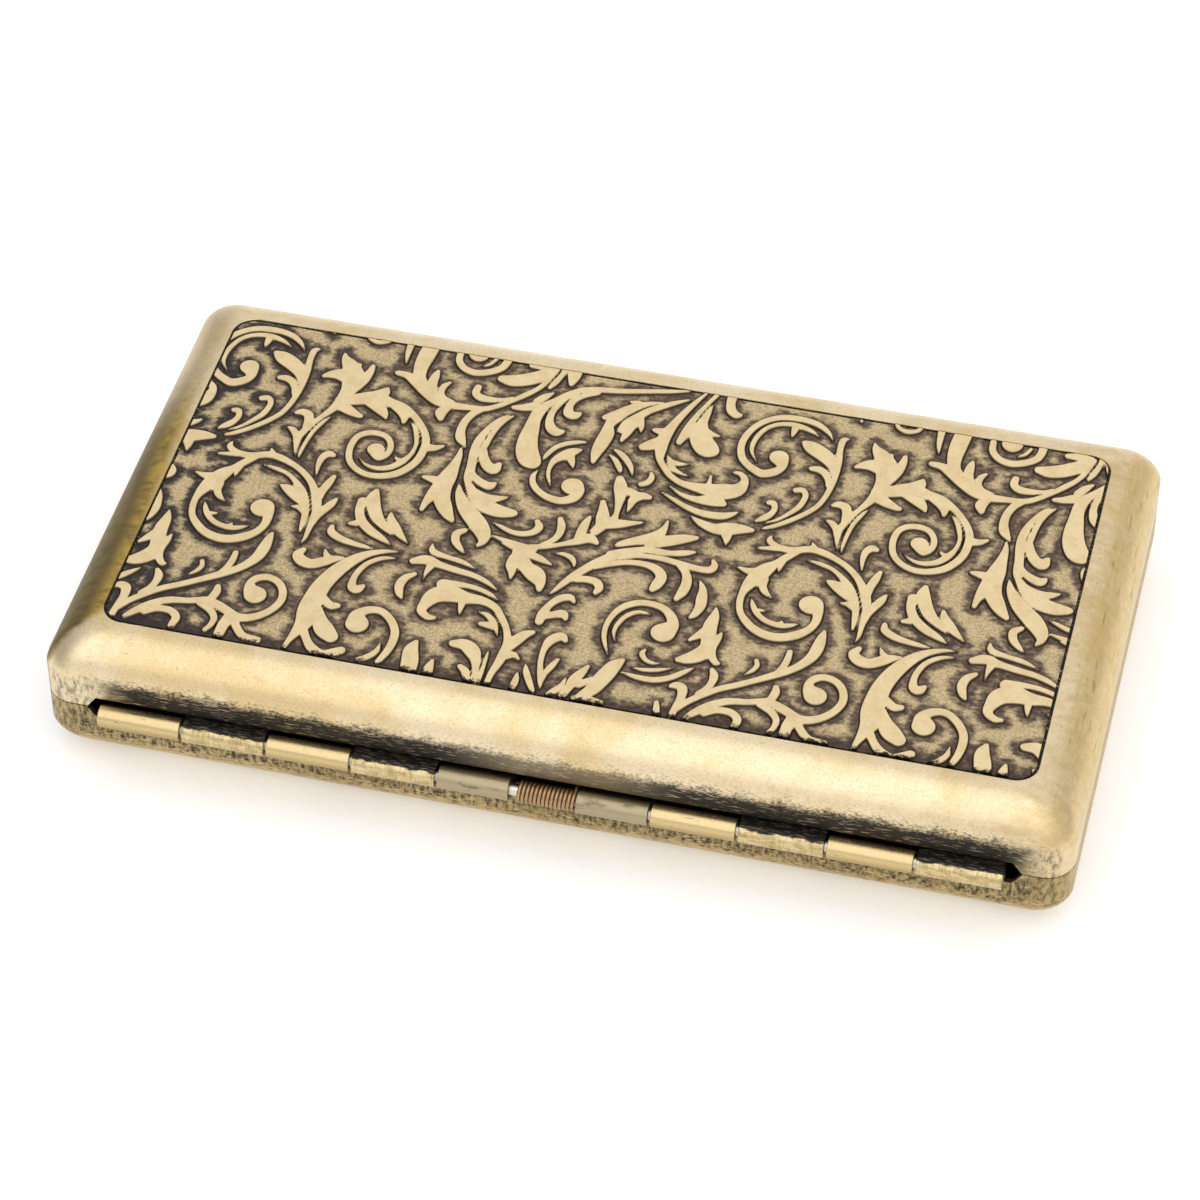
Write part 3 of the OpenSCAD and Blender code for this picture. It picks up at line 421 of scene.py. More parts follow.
def spline(points):
    """Catmull-Rom curve through the rows, sampled every SPLINE_STEP."""
    if len(points) == 1:
        return points
    p = np.vstack([2 * points[0] - points[1], points, 2 * points[-1] - points[-2]])
    rows = []
    for k in range(len(points) - 1):
        a, b, c, d = p[k:k + 4]
        count = max(2, int(np.hypot(*(c - b)[:2]) / SPLINE_STEP))
        t = np.linspace(0, 1, count, endpoint=False)[:, None]
        rows.append(b + 0.5 * t * (c - a + t * (2 * a - 5 * b + 4 * c - d + t * (3 * (b - c) + d - a))))
    rows.append(points[-1:])
    out = np.vstack(rows)
    out[:, 2] = np.maximum(out[:, 2], LEAST_HALF_WIDTH)
    return out


def motif_field(u, v):
    """Distance from each grid point to the nearest motif edge, negative inside a motif."""
    field = np.full((len(u), len(v)), FIELD_REACH)
    for text in MOTIFS.values():
        for stroke in read_strokes(text):
            discs = spline(stroke)
            for copy in (-1, 0, 1):
                for cu, cv, r in discs + [copy * TILE_STEP[0], copy * TILE_STEP[1], 0]:
                    reach = r + FIELD_REACH
                    i0, i1 = np.searchsorted(u, [cu - reach, cu + reach])
                    j0, j1 = np.searchsorted(v, [cv - reach, cv + reach])
                    if i0 == i1 or j0 == j1:
                        continue
                    away = np.hypot(u[i0:i1, None] - cu, v[None, j0:j1] - cv) - r
                    part = field[i0:i1, j0:j1]
                    np.minimum(part, away, out=part)
    return field


def split_triangles(rows, triangles, side):
    """Cut triangles where side, a value for each row, passes through zero. New rows lie on the cut.

    A row whose side is zero counts as just above it.
    """
    side = np.where(side == 0, 1e-9, side)
    below = side < 0
    count = below[triangles].sum(1)
    mixed = (count == 1) | (count == 2)
    m = triangles[mixed]
    lone = below[m] == (count[mixed] == 1)[:, None]
    m = m[np.arange(len(m))[:, None], (lone.argmax(1)[:, None] + np.arange(3)) % 3]
    edges = np.sort(np.vstack([m[:, [0, 1]], m[:, [0, 2]]]), axis=1)
    pairs, which = np.unique(edges, axis=0, return_inverse=True)
    which = which.ravel()
    a, b = pairs.T
    share = (side[a] / (side[a] - side[b]))[:, None]
    new = rows[a] + (rows[b] - rows[a]) * share
    first, second = len(rows) + which[:len(m)], len(rows) + which[len(m):]
    parts = [
        triangles[~mixed],
        np.stack([m[:, 0], first, second], 1),
        np.stack([first, m[:, 1], m[:, 2]], 1),
        np.stack([first, m[:, 2], second], 1),
    ]
    return np.vstack([rows, new]), np.vstack(parts)


def past_border(rows):
    """How far each row's u and v lie outside the inner edge of the border line, negative inside it."""
    qx = np.abs(rows[:, 0] - PANEL_HALF_L) - (PANEL_HALF_L - PANEL_R)
    qy = np.abs(rows[:, 1] - PANEL_HALF_W) - (PANEL_HALF_W - PANEL_R)
    outside = np.hypot(np.maximum(qx, 0), np.maximum(qy, 0))
    return outside + np.minimum(np.maximum(qx, qy), 0) - PANEL_R + BORDER_W


def panel_triangles():
    """Rows of u, v and distance to a motif, and triangles cut along the border and the relief's slope."""
    u = np.arange(0, 2 * PANEL_HALF_L + CELL, CELL)
    v = np.arange(0, 2 * PANEL_HALF_W + CELL, CELL)
    grid_u, grid_v = np.meshgrid(u, v, indexing="ij")
    rows = np.stack([grid_u.ravel(), grid_v.ravel(), motif_field(u, v).ravel()], 1)
    index = np.arange(len(rows)).reshape(grid_u.shape)
    corners = index[:-1, :-1], index[1:, :-1], index[1:, 1:], index[:-1, 1:]
    a, b, c, d = [corner.ravel() for corner in corners]
    triangles = np.vstack([np.stack([a, b, c], 1), np.stack([a, c, d], 1)])
    rows, triangles = split_triangles(rows, triangles, past_border(rows))
    middle = rows[triangles].mean(1)
    triangles = triangles[past_border(middle) < 0]
    for level in (TOP_EDGE, FOOT_EDGE):
        rows, triangles = split_triangles(rows, triangles, rows[:, 2] - level)
    return rows, triangles


def add_skirt(points, triangles):
    """Add walls that go from the outer rim down into the plate. Also returns the rim's point numbers."""
    edges = np.sort(triangles[:, [0, 1, 1, 2, 2, 0]].reshape(-1, 2), axis=1)
    pairs, uses = np.unique(edges, axis=0, return_counts=True)
    rim = pairs[uses == 1]
    lowered, place = np.unique(rim, return_inverse=True)
    place = place.reshape(-1, 2) + len(points)
    skirt = points[lowered] * [1, 1, 0] + [0, 0, LID_HI[2] - PLATE_DROP - SKIRT_OVERLAP]
    walls = [
        np.stack([rim[:, 0], rim[:, 1], place[:, 1]], 1),
        np.stack([rim[:, 0], place[:, 1], place[:, 0]], 1),
    ]
    return np.vstack([points, skirt]), np.vstack([triangles, *walls]), lowered


def pick_piece(name, points, edge_mm, triangles, material):
    """An object from some of the panel's triangles. edge_mm is each point's distance from a motif."""
    used, renumbered = np.unique(triangles, return_inverse=True)
    obj = add_mesh(name, points[used], renumbered.reshape(-1, 3), material, RELIEF_SHARP)
    attribute = obj.data.attributes.new("edge_mm", "FLOAT", "POINT")
    attribute.data.foreach_set("value", edge_mm[used].astype(np.float32))
    return obj


def build_panel(tops, ground):
    """The scrolled relief and the ground between its motifs, as two pieces."""
    rows, triangles = panel_triangles()
    height = np.clip((FOOT_EDGE - rows[:, 2]) / (FOOT_EDGE - TOP_EDGE), 0, 1)
    x = CENTRE_X - PANEL_HALF_L + rows[:, 0]
    y = CENTRE_Y - PANEL_HALF_W + rows[:, 1]
    z = LID_HI[2] - RELIEF_H * (1 - height)
    points, triangles, rim = add_skirt(np.stack([x, y, z], 1), triangles)
    edge_mm = np.concatenate([rows[:, 2], rows[rim, 2]])
    inside_foot = FOOT_EDGE - 1e-4
    raised = (edge_mm[triangles] < inside_foot).any(1)
    relief = pick_piece("relief_scrolls", points, edge_mm, triangles[raised], tops)
    floor = pick_piece("panel_ground", points, edge_mm, triangles[~raised], ground)
    return relief, floor


# ---------------------------------------------------------------------------- materials

class Nodes:
    """A node tree and short ways to add to it. place is the point or the direction being shaded."""

    def __init__(self, tree, coordinates):
        self.tree = tree
        self.place = tree.nodes.new("ShaderNodeTexCoord").outputs[coordinates]

    def wire(self, value, socket):
        """Link a socket to value, or set it to value where that is a constant."""
        if isinstance(value, bpy.types.NodeSocket):
            self.tree.links.new(value, socket)
        elif socket.type == "RGBA":
            socket.default_value = (*value[:3], 1)
        else:
            socket.default_value = value

    def math(self, kind, a, b=0.0, node_type="ShaderNodeMath"):
        node = self.tree.nodes.new(node_type)
        node.operation = kind
        self.wire(a, node.inputs[0])
        self.wire(b, node.inputs[1])
        return node.outputs[0]

    def vector(self, kind, a, b):
        return self.math(kind, a, b, "ShaderNodeVectorMath")

    def plus(self, a, b):
        return self.math("ADD", a, b)

    def times(self, a, b):
        return self.math("MULTIPLY", a, b)

    def without(self, share):
        """What is left of 1 when share is taken away."""
        return self.math("SUBTRACT", 1.0, share)

    def jitter(self, value, noise, amount):
        """value moved up and down by half of amount at most, as the noise goes."""
        return self.plus(value, self.times(self.math("SUBTRACT", noise, 0.5), amount))

    def ramp(self, value, low, high, to_low=0.0, to_high=1.0):
        """value taken from low..high to to_low..to_high, smoothly."""
        node = self.tree.nodes.new("ShaderNodeMapRange")
        node.interpolation_type = "SMOOTHSTEP"
        self.wire(value, node.inputs["Value"])
        node.inputs["From Min"].default_value = low
        node.inputs["From Max"].default_value = high
        node.inputs["To Min"].default_value = to_low
        node.inputs["To Max"].default_value = to_high
        return node.outputs["Result"]

    def axis(self, name):
        """One coordinate of the point or the direction."""
        node = self.tree.nodes.new("ShaderNodeSeparateXYZ")
        self.wire(self.place, node.inputs[0])
        return node.outputs[name]


class Paint(Nodes):
    """A material. Every noise in it is sized in millimetres."""

    def __init__(self, name):
        self.material = bpy.data.materials.new(name)
        self.material.use_nodes = True
        super().__init__(self.material.node_tree, "Object")
        self.place = self.vector("MULTIPLY", self.place, (1 / MM, 1 / MM, 1 / MM))
        self.shader = self.tree.nodes["Principled BSDF"]

    def noise(self, size, detail=3.0, stretch=(1, 1, 1), shift=0.0):
        """Noise whose blots are about size across, drawn out along an axis by stretch."""
        scaled = self.vector("DIVIDE", self.place, stretch)
        moved = self.vector("ADD", scaled, (shift, 2 * shift, 3 * shift))
        node = self.tree.nodes.new("ShaderNodeTexNoise")
        node.inputs["Scale"].default_value = 1 / size
        node.inputs["Detail"].default_value = detail
        node.inputs["Roughness"].default_value = 0.6
        self.wire(moved, node.inputs["Vector"])
        return node.outputs["Fac"]

    def mix(self, share, a, b):
        """Colour a where share is 0 and b where it is 1."""
        node = self.tree.nodes.new("ShaderNodeMix")
        node.data_type = "RGBA"
        self.wire(share, node.inputs[0])
        self.wire(a, node.inputs[6])
        self.wire(b, node.inputs[7])
        return node.outputs[2]

    def attribute(self, name):
        node = self.tree.nodes.new("ShaderNodeAttribute")
        node.attribute_name = name
        return node.outputs["Fac"]

    def bump(self, height, depth, strength=0.5):
        node = self.tree.nodes.new("ShaderNodeBump")
        node.inputs["Strength"].default_value = strength
        node.inputs["Distance"].default_value = depth * MM
        self.wire(height, node.inputs["Height"])
        self.wire(node.outputs["Normal"], self.shader.inputs["Normal"])

    def finish(self, colour, roughness, metallic=1.0, **others):
        self.wire(colour, self.shader.inputs["Base Color"])
        self.wire(roughness, self.shader.inputs["Roughness"])
        self.wire(metallic, self.shader.inputs["Metallic"])
        for name, value in others.items():
            self.wire(value, self.shader.inputs[name.replace("_", " ").title()])
        return self.material


# Colours that several paints share, or that tell the two halves apart
LID_BRASS = (0.84, 0.70, 0.475)
LID_WARM = (0.74, 0.57, 0.31)
BASE_BRASS = (0.63, 0.48, 0.23)
BASE_WARM = (0.52, 0.385, 0.165)
OLD_BRASS = (0.42, 0.31, 0.135)
OLIVE = (0.56, 0.385, 0.085)
PATINA = (0.026, 0.024, 0.024)


def relief_paint():
    """Rubbed tops of the scrolls: pale brass, brown where they drop to the ground, which is patina in the
    groove and painted shade.
    """
    pale, warm = (0.91, 0.735, 0.44), (0.81, 0.63, 0.355)
    foot_patina_and_shade, stain_brown = (0.06, 0.042, 0.033), (0.05, 0.035, 0.03)
    p = Paint("relief_brass")
    tone = p.ramp(p.noise(1.6, 5), 0.35, 0.7)
    grain = p.ramp(p.noise(0.14, 2), 0.35, 0.75)
    colour = p.mix(tone, pale, warm)
    colour = p.mix(p.times(grain, 0.2), colour, OLD_BRASS)
    # Dark brown on each motif's steep foot: patina in the groove, with painted shade.
    edge = p.ramp(p.attribute("edge_mm"), TOP_EDGE - 0.03, FOOT_EDGE - 0.06)
    colour = p.mix(edge, colour, foot_patina_and_shade)
    stain = near_border_stain(p, p.noise(0.5, 5, shift=5.0), 5.5, 5.95)
    colour = p.mix(stain, colour, stain_brown)
    p.bump(p.noise(0.12, 2), 0.01, 0.25)
    return p.finish(colour, p.ramp(grain, 0, 1, 0.36, 0.5), 0.92)


def near_border_stain(p, wisps, full, none):
    """Patina in a ragged band along the panel's hinge side, from full to none at those mm from the wall."""
    y = p.jitter(p.axis("Y"), wisps, 2.2)
    return p.ramp(y, LID_LO[1] + none, LID_LO[1] + full)


def ground_paint():
    """Pressed ground: nearly black along the scrolls, mottled grey brass where it opens out. A thin line at
    each motif's foot is patina with painted shade.
    """
    dull_brass, bare_brass = (0.38, 0.285, 0.16), (0.74, 0.585, 0.335)
    deep_brown, light_brown = (0.105, 0.07, 0.054), (0.23, 0.165, 0.115)
    stain_brown, line_patina_and_shade = (0.045, 0.03, 0.024), (0.07, 0.048, 0.039)
    blue_black = (0.03, 0.029, 0.035)
    p = Paint("ground_patina")
    cloud = p.noise(2.4, 5)
    wisps = p.noise(0.5, 5, (1.6, 1, 1), 5.0)
    grain = p.noise(0.22, 5)
    away = p.jitter(p.attribute("edge_mm"), cloud, 2.4)
    away = p.jitter(away, wisps, 1.5)
    stain = near_border_stain(p, wisps, 6.0, 7.8)
    openness = p.times(p.ramp(away, 0.3, 1.3), p.without(stain))
    worn = p.mix(p.ramp(grain, 0.28, 0.68), dull_brass, bare_brass)
    dark = p.mix(p.ramp(wisps, 0.38, 0.68), deep_brown, light_brown)
    dark = p.mix(p.times(stain, 0.6), dark, stain_brown)
    # Thin dark line at each motif's foot: patina in the groove, with painted shade.
    line = p.ramp(p.attribute("edge_mm"), FOOT_EDGE, FOOT_EDGE + 0.12)
    colour = p.mix(line, line_patina_and_shade, p.mix(openness, dark, worn))
    left = p.jitter(p.axis("X"), cloud, 12)
    left = p.times(p.ramp(left, LID_LO[0] + 26, LID_LO[0] + 6, 0, 0.75), p.without(openness))
    colour = p.mix(left, colour, blue_black)
    p.bump(p.plus(grain, wisps), 0.05, 0.5)
    return p.finish(colour, p.ramp(openness, 0, 1, 0.6, 0.45), 0.8)


def shell_paint(name, brass, warm, rub_size, wall_patina):
    """Brushed antique brass. wall_patina(p, rub) gives the share of patina, and rub is a noise."""
    p = Paint(name)
    rub = p.noise(rub_size, 7, (2.0, 1, 1))
    fine = p.noise(0.13, 3, (3, 1, 1), 4.0)
    hairs = p.ramp(p.noise(0.09, 1, (16, 1, 1), 2.0), 0.62, 0.7)
    pits = p.ramp(p.noise(0.26, 1, shift=9.0), 0.72, 0.77)
    colour = p.mix(p.ramp(p.noise(9, 5), 0.4, 0.65), brass, warm)
    colour = brushed(p, colour, rub, fine)
    left, olive = left_shoulder(p, rub)
    colour = p.mix(left, colour, olive)
    colour = right_shoulder(p, colour, rub)
    colour = p.mix(p.times(pits, 0.45), colour, PATINA)
    share = p.times(wall_patina(p, rub), p.without(p.times(hairs, 0.6)))
    colour = p.mix(share, colour, PATINA)
    p.bump(p.plus(fine, p.times(rub, 0.3)), 0.014, 0.35)
    rough = p.plus(p.ramp(fine, 0.3, 0.7, 0.33, 0.42), p.times(share, 0.2))
    rough = p.plus(rough, p.times(left, 0.15))
    return p.finish(colour, rough, 0.96)


def brushed(p, colour, rub, fine):
    """colour with brown grain, darker brown blotches towards the right end and bright hairs."""
    right_end_brown, bright = (0.56, 0.41, 0.19), (0.92, 0.80, 0.56)
    colour = p.mix(p.ramp(fine, 0.5, 0.75, 0, 0.35), colour, OLD_BRASS)
    colour = p.mix(p.ramp(p.noise(0.2, 4, shift=3.0), 0.48, 0.72, 0, 0.4), colour, OLD_BRASS)
    # Darker brown blotches that grow towards the right end of the case.
    right_end_dark = p.plus(p.axis("X"), p.times(p.noise(5, 6, (1, 1.6, 1), 8.0), 34))
    right_end_dark = p.times(p.ramp(right_end_dark, 48, 80), p.ramp(rub, 0.3, 0.65, 0.1, 0.7))
    colour = p.mix(right_end_dark, colour, right_end_brown)
    colour = p.mix(p.ramp(rub, 0.55, 0.8, 0, 0.3), colour, OLD_BRASS)
    hairs = p.ramp(p.noise(0.08, 1, (2, 22, 2), 7.0), 0.66, 0.72, 0, 0.25)
    return p.mix(hairs, colour, bright)


def left_shoulder(p, rub):
    """Yellow brown of the left shoulder: its share and its colour, which darkens towards the wall."""
    olive_brown, wall_brown = (0.25, 0.17, 0.045), (0.10, 0.075, 0.03)
    inward = p.jitter(p.axis("X"), rub, 2.5)
    inward = p.plus(inward, p.ramp(p.axis("Y"), -18, 6, -1.3, 0))
    near_wall = p.ramp(inward, LID_LO[0] + 3.6, LID_LO[0] + 1.8, 0, 0.75)
    share = p.ramp(inward, LID_LO[0] + 5.4, LID_LO[0] + 3.7, 0, 0.96)
    share = p.times(share, p.ramp(p.axis("Y"), 2, 20, 1, 0.25))
    mitre = p.jitter(p.math("SUBTRACT", p.axis("Y"), p.axis("X")), rub, 1.5)
    corner = LID_LO[1] - LID_LO[0]
    share = p.times(share, p.ramp(mitre, corner, corner + 1.6))
    olive = p.mix(p.ramp(rub, 0.35, 0.65), OLIVE, olive_brown)
    return share, p.mix(near_wall, olive, wall_brown)


def right_shoulder(p, colour, rub):
    """colour with streaks of yellow brown and of dirt down the right shoulder."""
    yellow_brown, dirt_brown = (0.66, 0.48, 0.19), (0.22, 0.16, 0.07)
    streaks = p.noise(0.5, 5, (1, 5, 1), 12.0)
    share = p.ramp(p.jitter(p.axis("X"), rub, 1.4), LID_HI[0] - 3.9, LID_HI[0] - 2.9)
    share = p.times(share, p.ramp(p.axis("Y"), -24, -14, 0.3, 1))
    yellow = p.times(share, p.ramp(streaks, 0.3, 0.7, 0.25, 0.85))
    dirt = p.times(share, p.ramp(streaks, 0.58, 0.7, 0, 0.45))
    return p.mix(dirt, p.mix(yellow, colour, yellow_brown), dirt_brown)


def lid_patina(p, rub):
    """Patina along the back wall over the hinge, with a ragged upper edge, and in the border line."""
    scuff = p.noise(0.22, 6, (1.8, 1, 1), 6.0)
    depth = p.plus(p.axis("Y"), p.times(rub, 1.2))
    back = p.ramp(depth, LID_LO[1] + 1.5, LID_LO[1] + 0.9)
    height = p.plus(p.plus(p.axis("Z"), p.times(rub, 2.2)), p.times(scuff, 3.2))
    low = p.ramp(height, SEAM_Z + 7.6, SEAM_Z + 6.0)
    from_middle = p.math("ABSOLUTE", p.math("SUBTRACT", p.axis("X"), 1.5))
    ends = p.ramp(p.plus(from_middle, p.times(rub, 5)), 54.5, 49.0, 0, 0.97)
    ends = p.math("MAXIMUM", ends, p.ramp(smears(p), 0.42, 0.62, 0.08, 0.6))
    ends = p.times(ends, p.ramp(from_middle, 3, 14, 0.72, 1))
    band = p.times(p.times(back, low), ends)
    return p.math("MAXIMUM", band, border_line(p))


def border_line(p):
    """1 in the groove round the panel and 0 on the shoulder, the plate and the lid's inside."""
    ceiling = LID_HI[2] - PANEL_RISE - WALL
    share = p.ramp(p.axis("Z"), LID_HI[2] - 0.24, LID_HI[2] - 0.30)
    share = p.times(share, p.ramp(p.axis("Z"), ceiling, ceiling + 0.1))
    for axis, half in (("X", PANEL_HALF_L), ("Y", PANEL_HALF_W)):
        share = p.times(share, p.ramp(p.math("ABSOLUTE", p.axis(axis)), half + 0.15, half))
    return share


def smears(p):
    """Upright smears of patina on the walls."""
    return p.noise(0.45, 6, (1, 1, 2.5), 14.0)


def base_patina(p, rub):
    """Ragged patina on the base's wall, thickest under the hinge, rubbed back to brass low down."""
    scuff = p.noise(0.2, 5, (3, 1, 1), 6.0)
    height = p.jitter(p.jitter(p.axis("Z"), rub, 6), scuff, 9)
    wall = p.ramp(height, 2.5, 5.0)
    behind = p.ramp(p.axis("Y"), BASE_LO[1] + 2.0, BASE_LO[1] + 0.4)
    between = p.ramp(p.math("ABSOLUTE", p.axis("X")), 53.5, 49.5, 0.3, 0.55)
    smeared = p.times(wall, p.ramp(smears(p), 0.38, 0.62, 0.35, 1))
    return p.times(smeared, p.plus(0.4, p.times(behind, between)))


def plain_brass(name, colour, dark, worn, roughness=0.3, size=1.2):
    """Plain brass with dark blots over about the share worn of it."""
    p = Paint(name)
    least = 0.72 - 0.4 * worn
    blots = p.ramp(p.noise(size, 5, (2.5, 1, 1)), least, least + 0.14)
    fine = p.noise(0.12, 2, (4, 1, 1))
    p.bump(fine, 0.01, 0.3)
    rough = p.ramp(fine, 0.3, 0.7, roughness - 0.05, roughness + 0.1)
    return p.finish(p.mix(blots, colour, dark), rough, 0.97)


def bright_knuckle_paint():
    """Knuckles of the base's leaf: pale above and yellow brown underneath, as painted light and shade."""
    under, above, blot_brown = (0.40, 0.28, 0.09), (0.66, 0.51, 0.27), (0.12, 0.09, 0.06)
    p = Paint("knuckle_bright")
    fine = p.noise(0.12, 3, (4, 1, 1))
    blots = p.noise(0.9, 5, (2.5, 1, 1))
    # Painted light and shade: pale towards the top of each knuckle, yellow brown towards its underside.
    height = p.jitter(p.axis("Z"), blots, 0.5)
    colour = p.mix(p.ramp(height, AXIS_Z - 0.9, AXIS_Z + 0.9), under, above)
    colour = p.mix(p.ramp(blots, 0.62, 0.74, 0, 0.8), colour, blot_brown)
    colour = p.mix(p.ramp(fine, 0.5, 0.75, 0, 0.4), colour, OLD_BRASS)
    p.bump(fine, 0.01, 0.3)
    return p.finish(colour, p.ramp(fine, 0.3, 0.7, 0.22, 0.34), 0.97)


def lid_knuckle_paint():
    """Knuckles of the lid's leaf: dark on top and rubbed to scratched brass in front."""
    pale, warm = (0.68, 0.54, 0.29), (0.48, 0.36, 0.16)
    scratch_brown, bright = (0.25, 0.18, 0.08), (0.80, 0.66, 0.42)
    p = Paint("knuckle_dark")
    rub = p.noise(0.7, 6, (2, 1, 1))
    hairs = p.ramp(p.noise(0.1, 1, (12, 1, 1), 2.0), 0.55, 0.66)
    scratches = p.ramp(p.noise(0.12, 3, (1, 9, 9), 3.0), 0.46, 0.66, 0, 0.65)
    up_and_back = p.jitter(p.plus(p.axis("Y"), p.axis("Z")), rub, 1.3)
    share = p.ramp(up_and_back, AXIS_Y + AXIS_Z + 0.25, AXIS_Y + AXIS_Z + 0.5)
    colour = p.mix(p.ramp(rub, 0.42, 0.62), pale, warm)
    colour = p.mix(scratches, colour, scratch_brown)
    colour = p.mix(p.times(hairs, 0.5), colour, bright)
    colour = p.mix(p.times(share, p.without(p.times(hairs, 0.3))), colour, PATINA)
    p.bump(rub, 0.02, 0.3)
    return p.finish(colour, p.ramp(share, 0, 1, 0.34, 0.5), 0.96)


def rubber_paint():
    p = Paint("magnet_rubber")
    grain = p.noise(0.3, 4)
    p.bump(grain, 0.03, 0.5)
    colour = p.mix(grain, (0.028, 0.02, 0.016), (0.05, 0.038, 0.03))
    return p.finish(colour, 0.75, 0.0)


def felt_paint():
    p = Paint("wine_felt")
    fibres = p.noise(0.22, 5, (3, 1, 1))
    cross = p.noise(0.22, 5, (1, 3, 1), 3.0)
    weave = p.times(p.plus(fibres, cross), 0.5)
    colour = p.mix(p.ramp(weave, 0.38, 0.62), (0.10, 0.008, 0.016), (0.23, 0.028, 0.045))
    p.bump(weave, 0.18, 0.8)
    return p.finish(colour, 0.95, 0.0, sheen_weight=0.6, sheen_roughness=0.5)


def elastic_paint():
    p = Paint("elastic_weave")
    threads = p.noise(0.25, 2, (1, 5, 1))
    colour = p.mix(p.ramp(threads, 0.4, 0.6), (0.012, 0.011, 0.012), (0.045, 0.042, 0.042))
    p.bump(threads, 0.05, 0.6)
    return p.finish(colour, 0.85, 0.0, sheen_weight=0.3, sheen_roughness=0.4)


# ---------------------------------------------------------------------------- pressed halves

def half_loops(side, face_rise):
    """Loops of one half from its ceiling, out over the rim, to the plate inside the border line.

    side is 1 for the lid and -1 for the base. face_rise is the plate's height over the seam. A row is the
    inset from the wall, the height over the seam and the corner radius.
    """
    rise = HALF_H - PANEL_RISE
    radius = (SHOULDER_IN ** 2 + SHOULDER_DROP ** 2) / (2 * SHOULDER_DROP)
    ceiling, inner_r = rise - WALL, radius - WALL
    wall_turn = math.acos((SHOULDER_IN - WALL) / inner_r)
    rows = [(SHOULDER_IN + 0.3, ceiling, PANEL_R - 0.6)]
    rows += shoulder_arc(inner_r, ceiling, math.pi / 2, wall_turn, 8, WALL)
    rows += [
        (WALL, 0.35, CORNER_R - WALL),
        (WALL - 0.02, RIM_GAP + 0.03, CORNER_R - WALL),
        (WALL - 0.08, RIM_GAP, CORNER_R - WALL + 0.08),
        (0.12, RIM_GAP, CORNER_R - 0.12),
        (0.03, RIM_GAP + 0.05, CORNER_R - 0.03),
        (0, RIM_GAP + 0.16, CORNER_R),
    ]
    wall_turn = math.acos(SHOULDER_IN / radius)
    panel_turn = math.acos((SHOULDER_IN - PANEL_MARGIN) / radius)
    rows += shoulder_arc(radius, rise, wall_turn, panel_turn, 12, 0)
    groove, groove_end = rise - BORDER_DEPTH, PANEL_MARGIN + BORDER_W
    rows += [
        (PANEL_MARGIN + 0.04, rise - 0.06, PANEL_R),
        (PANEL_MARGIN + 0.07, groove, PANEL_R),
        (groove_end - 0.03, groove, PANEL_R - BORDER_W),
        (groove_end, groove + (face_rise - groove) * 0.8, PANEL_R - BORDER_W),
        (groove_end + 0.05, face_rise, PANEL_R - BORDER_W),
    ]
    return [rounded_loop(inset, r, SEAM_Z + side * h) for inset, h, r in rows]


def shoulder_arc(radius, top, start, stop, steps, thickness):
    """Rows along a shoulder, between two turns about its centre. top is its highest point."""
    rows = []
    for turn in np.linspace(start, stop, steps + 1):
        inset = SHOULDER_IN - radius * math.cos(turn)
        rows.append((inset, top - radius * (1 - math.sin(turn)), corner_at(inset) - thickness))
    return rows


def corner_at(inset):
    """Corner radius of the outline that lies inset from the wall."""
    return CORNER_R + (PANEL_R - CORNER_R) * min(1.0, inset / PANEL_MARGIN)


def rim_cutter(side):
    """Block for the slot in a rim that the hinge sits in. Its slanted ends run out to points at the seam."""
    top_end, point_end, height, overlap = 48.9, 50.11, 1.5, 0.15
    outline = [
        (-point_end, SEAM_Z - side * overlap),
        (-top_end, SEAM_Z + side * height),
        (top_end, SEAM_Z + side * height),
        (point_end, SEAM_Z - side * overlap),
    ]
    return prism("rim_cutter", outline, LID_LO[1] - WALL, LID_LO[1] + 2 * WALL)


def stadium(half_l, half_h, steps=10):
    """A bar with round ends, centred on the origin."""
    flat = half_l - half_h
    points = []
    for end in (0, 1):
        for k in range(steps + 1):
            turn = -math.pi / 2 + math.pi * (end + k / steps)
            points.append(((1 - 2 * end) * flat + half_h * math.cos(turn), half_h * math.sin(turn)))
    return points


def pressing(name, loops, cutters, paint):
    """One pressed half with its openings cut out."""
    half = loft(name, loops, paint, SHELL_SHARP)
    cut_away(half, cutters)
    smooth(half.data, SHELL_SHARP)
    flatten(half)
    return half


def build_lid(paint):
    return pressing("lid_pressing", half_loops(1, HALF_H - PLATE_DROP), [rim_cutter(1)], paint)


def build_base(paint):
    """Lower half, with a window for the button in its front wall."""
    window_half_l, window_half_h = 4.62, 1.32
    middle_z = (BUTTON_LO[2] + BUTTON_HI[2]) / 2
    window = [(x, middle_z + z) for x, z in stadium(window_half_l, window_half_h)]
    window_cutter = prism("window_cutter", window, HALF_W - 2 * WALL, HALF_W + WALL)
    return pressing("base_pressing", half_loops(-1, HALF_H), [rim_cutter(-1), window_cutter], paint)


# ---------------------------------------------------------------------------- spring, latch and lining

def tube(name, line, radius, material, sides=12):
    """A round wire along a line of points."""
    line = np.asarray(line, float)
    along = np.gradient(line, axis=0)
    along /= np.linalg.norm(along, axis=1)[:, None]
    side = np.cross(along[0], (0.3, 0.2, 1.0))
    loops = []
    for point, direction in zip(line, along):
        side = side - direction * side.dot(direction)
        side /= np.linalg.norm(side)
        up = np.cross(direction, side)
        turns = np.linspace(0, 2 * math.pi, sides, endpoint=False)[:, None]
        loops.append(point + radius * (np.cos(turns) * side + np.sin(turns) * up))
    return loft(name, loops, material, WIRE_SHARP)


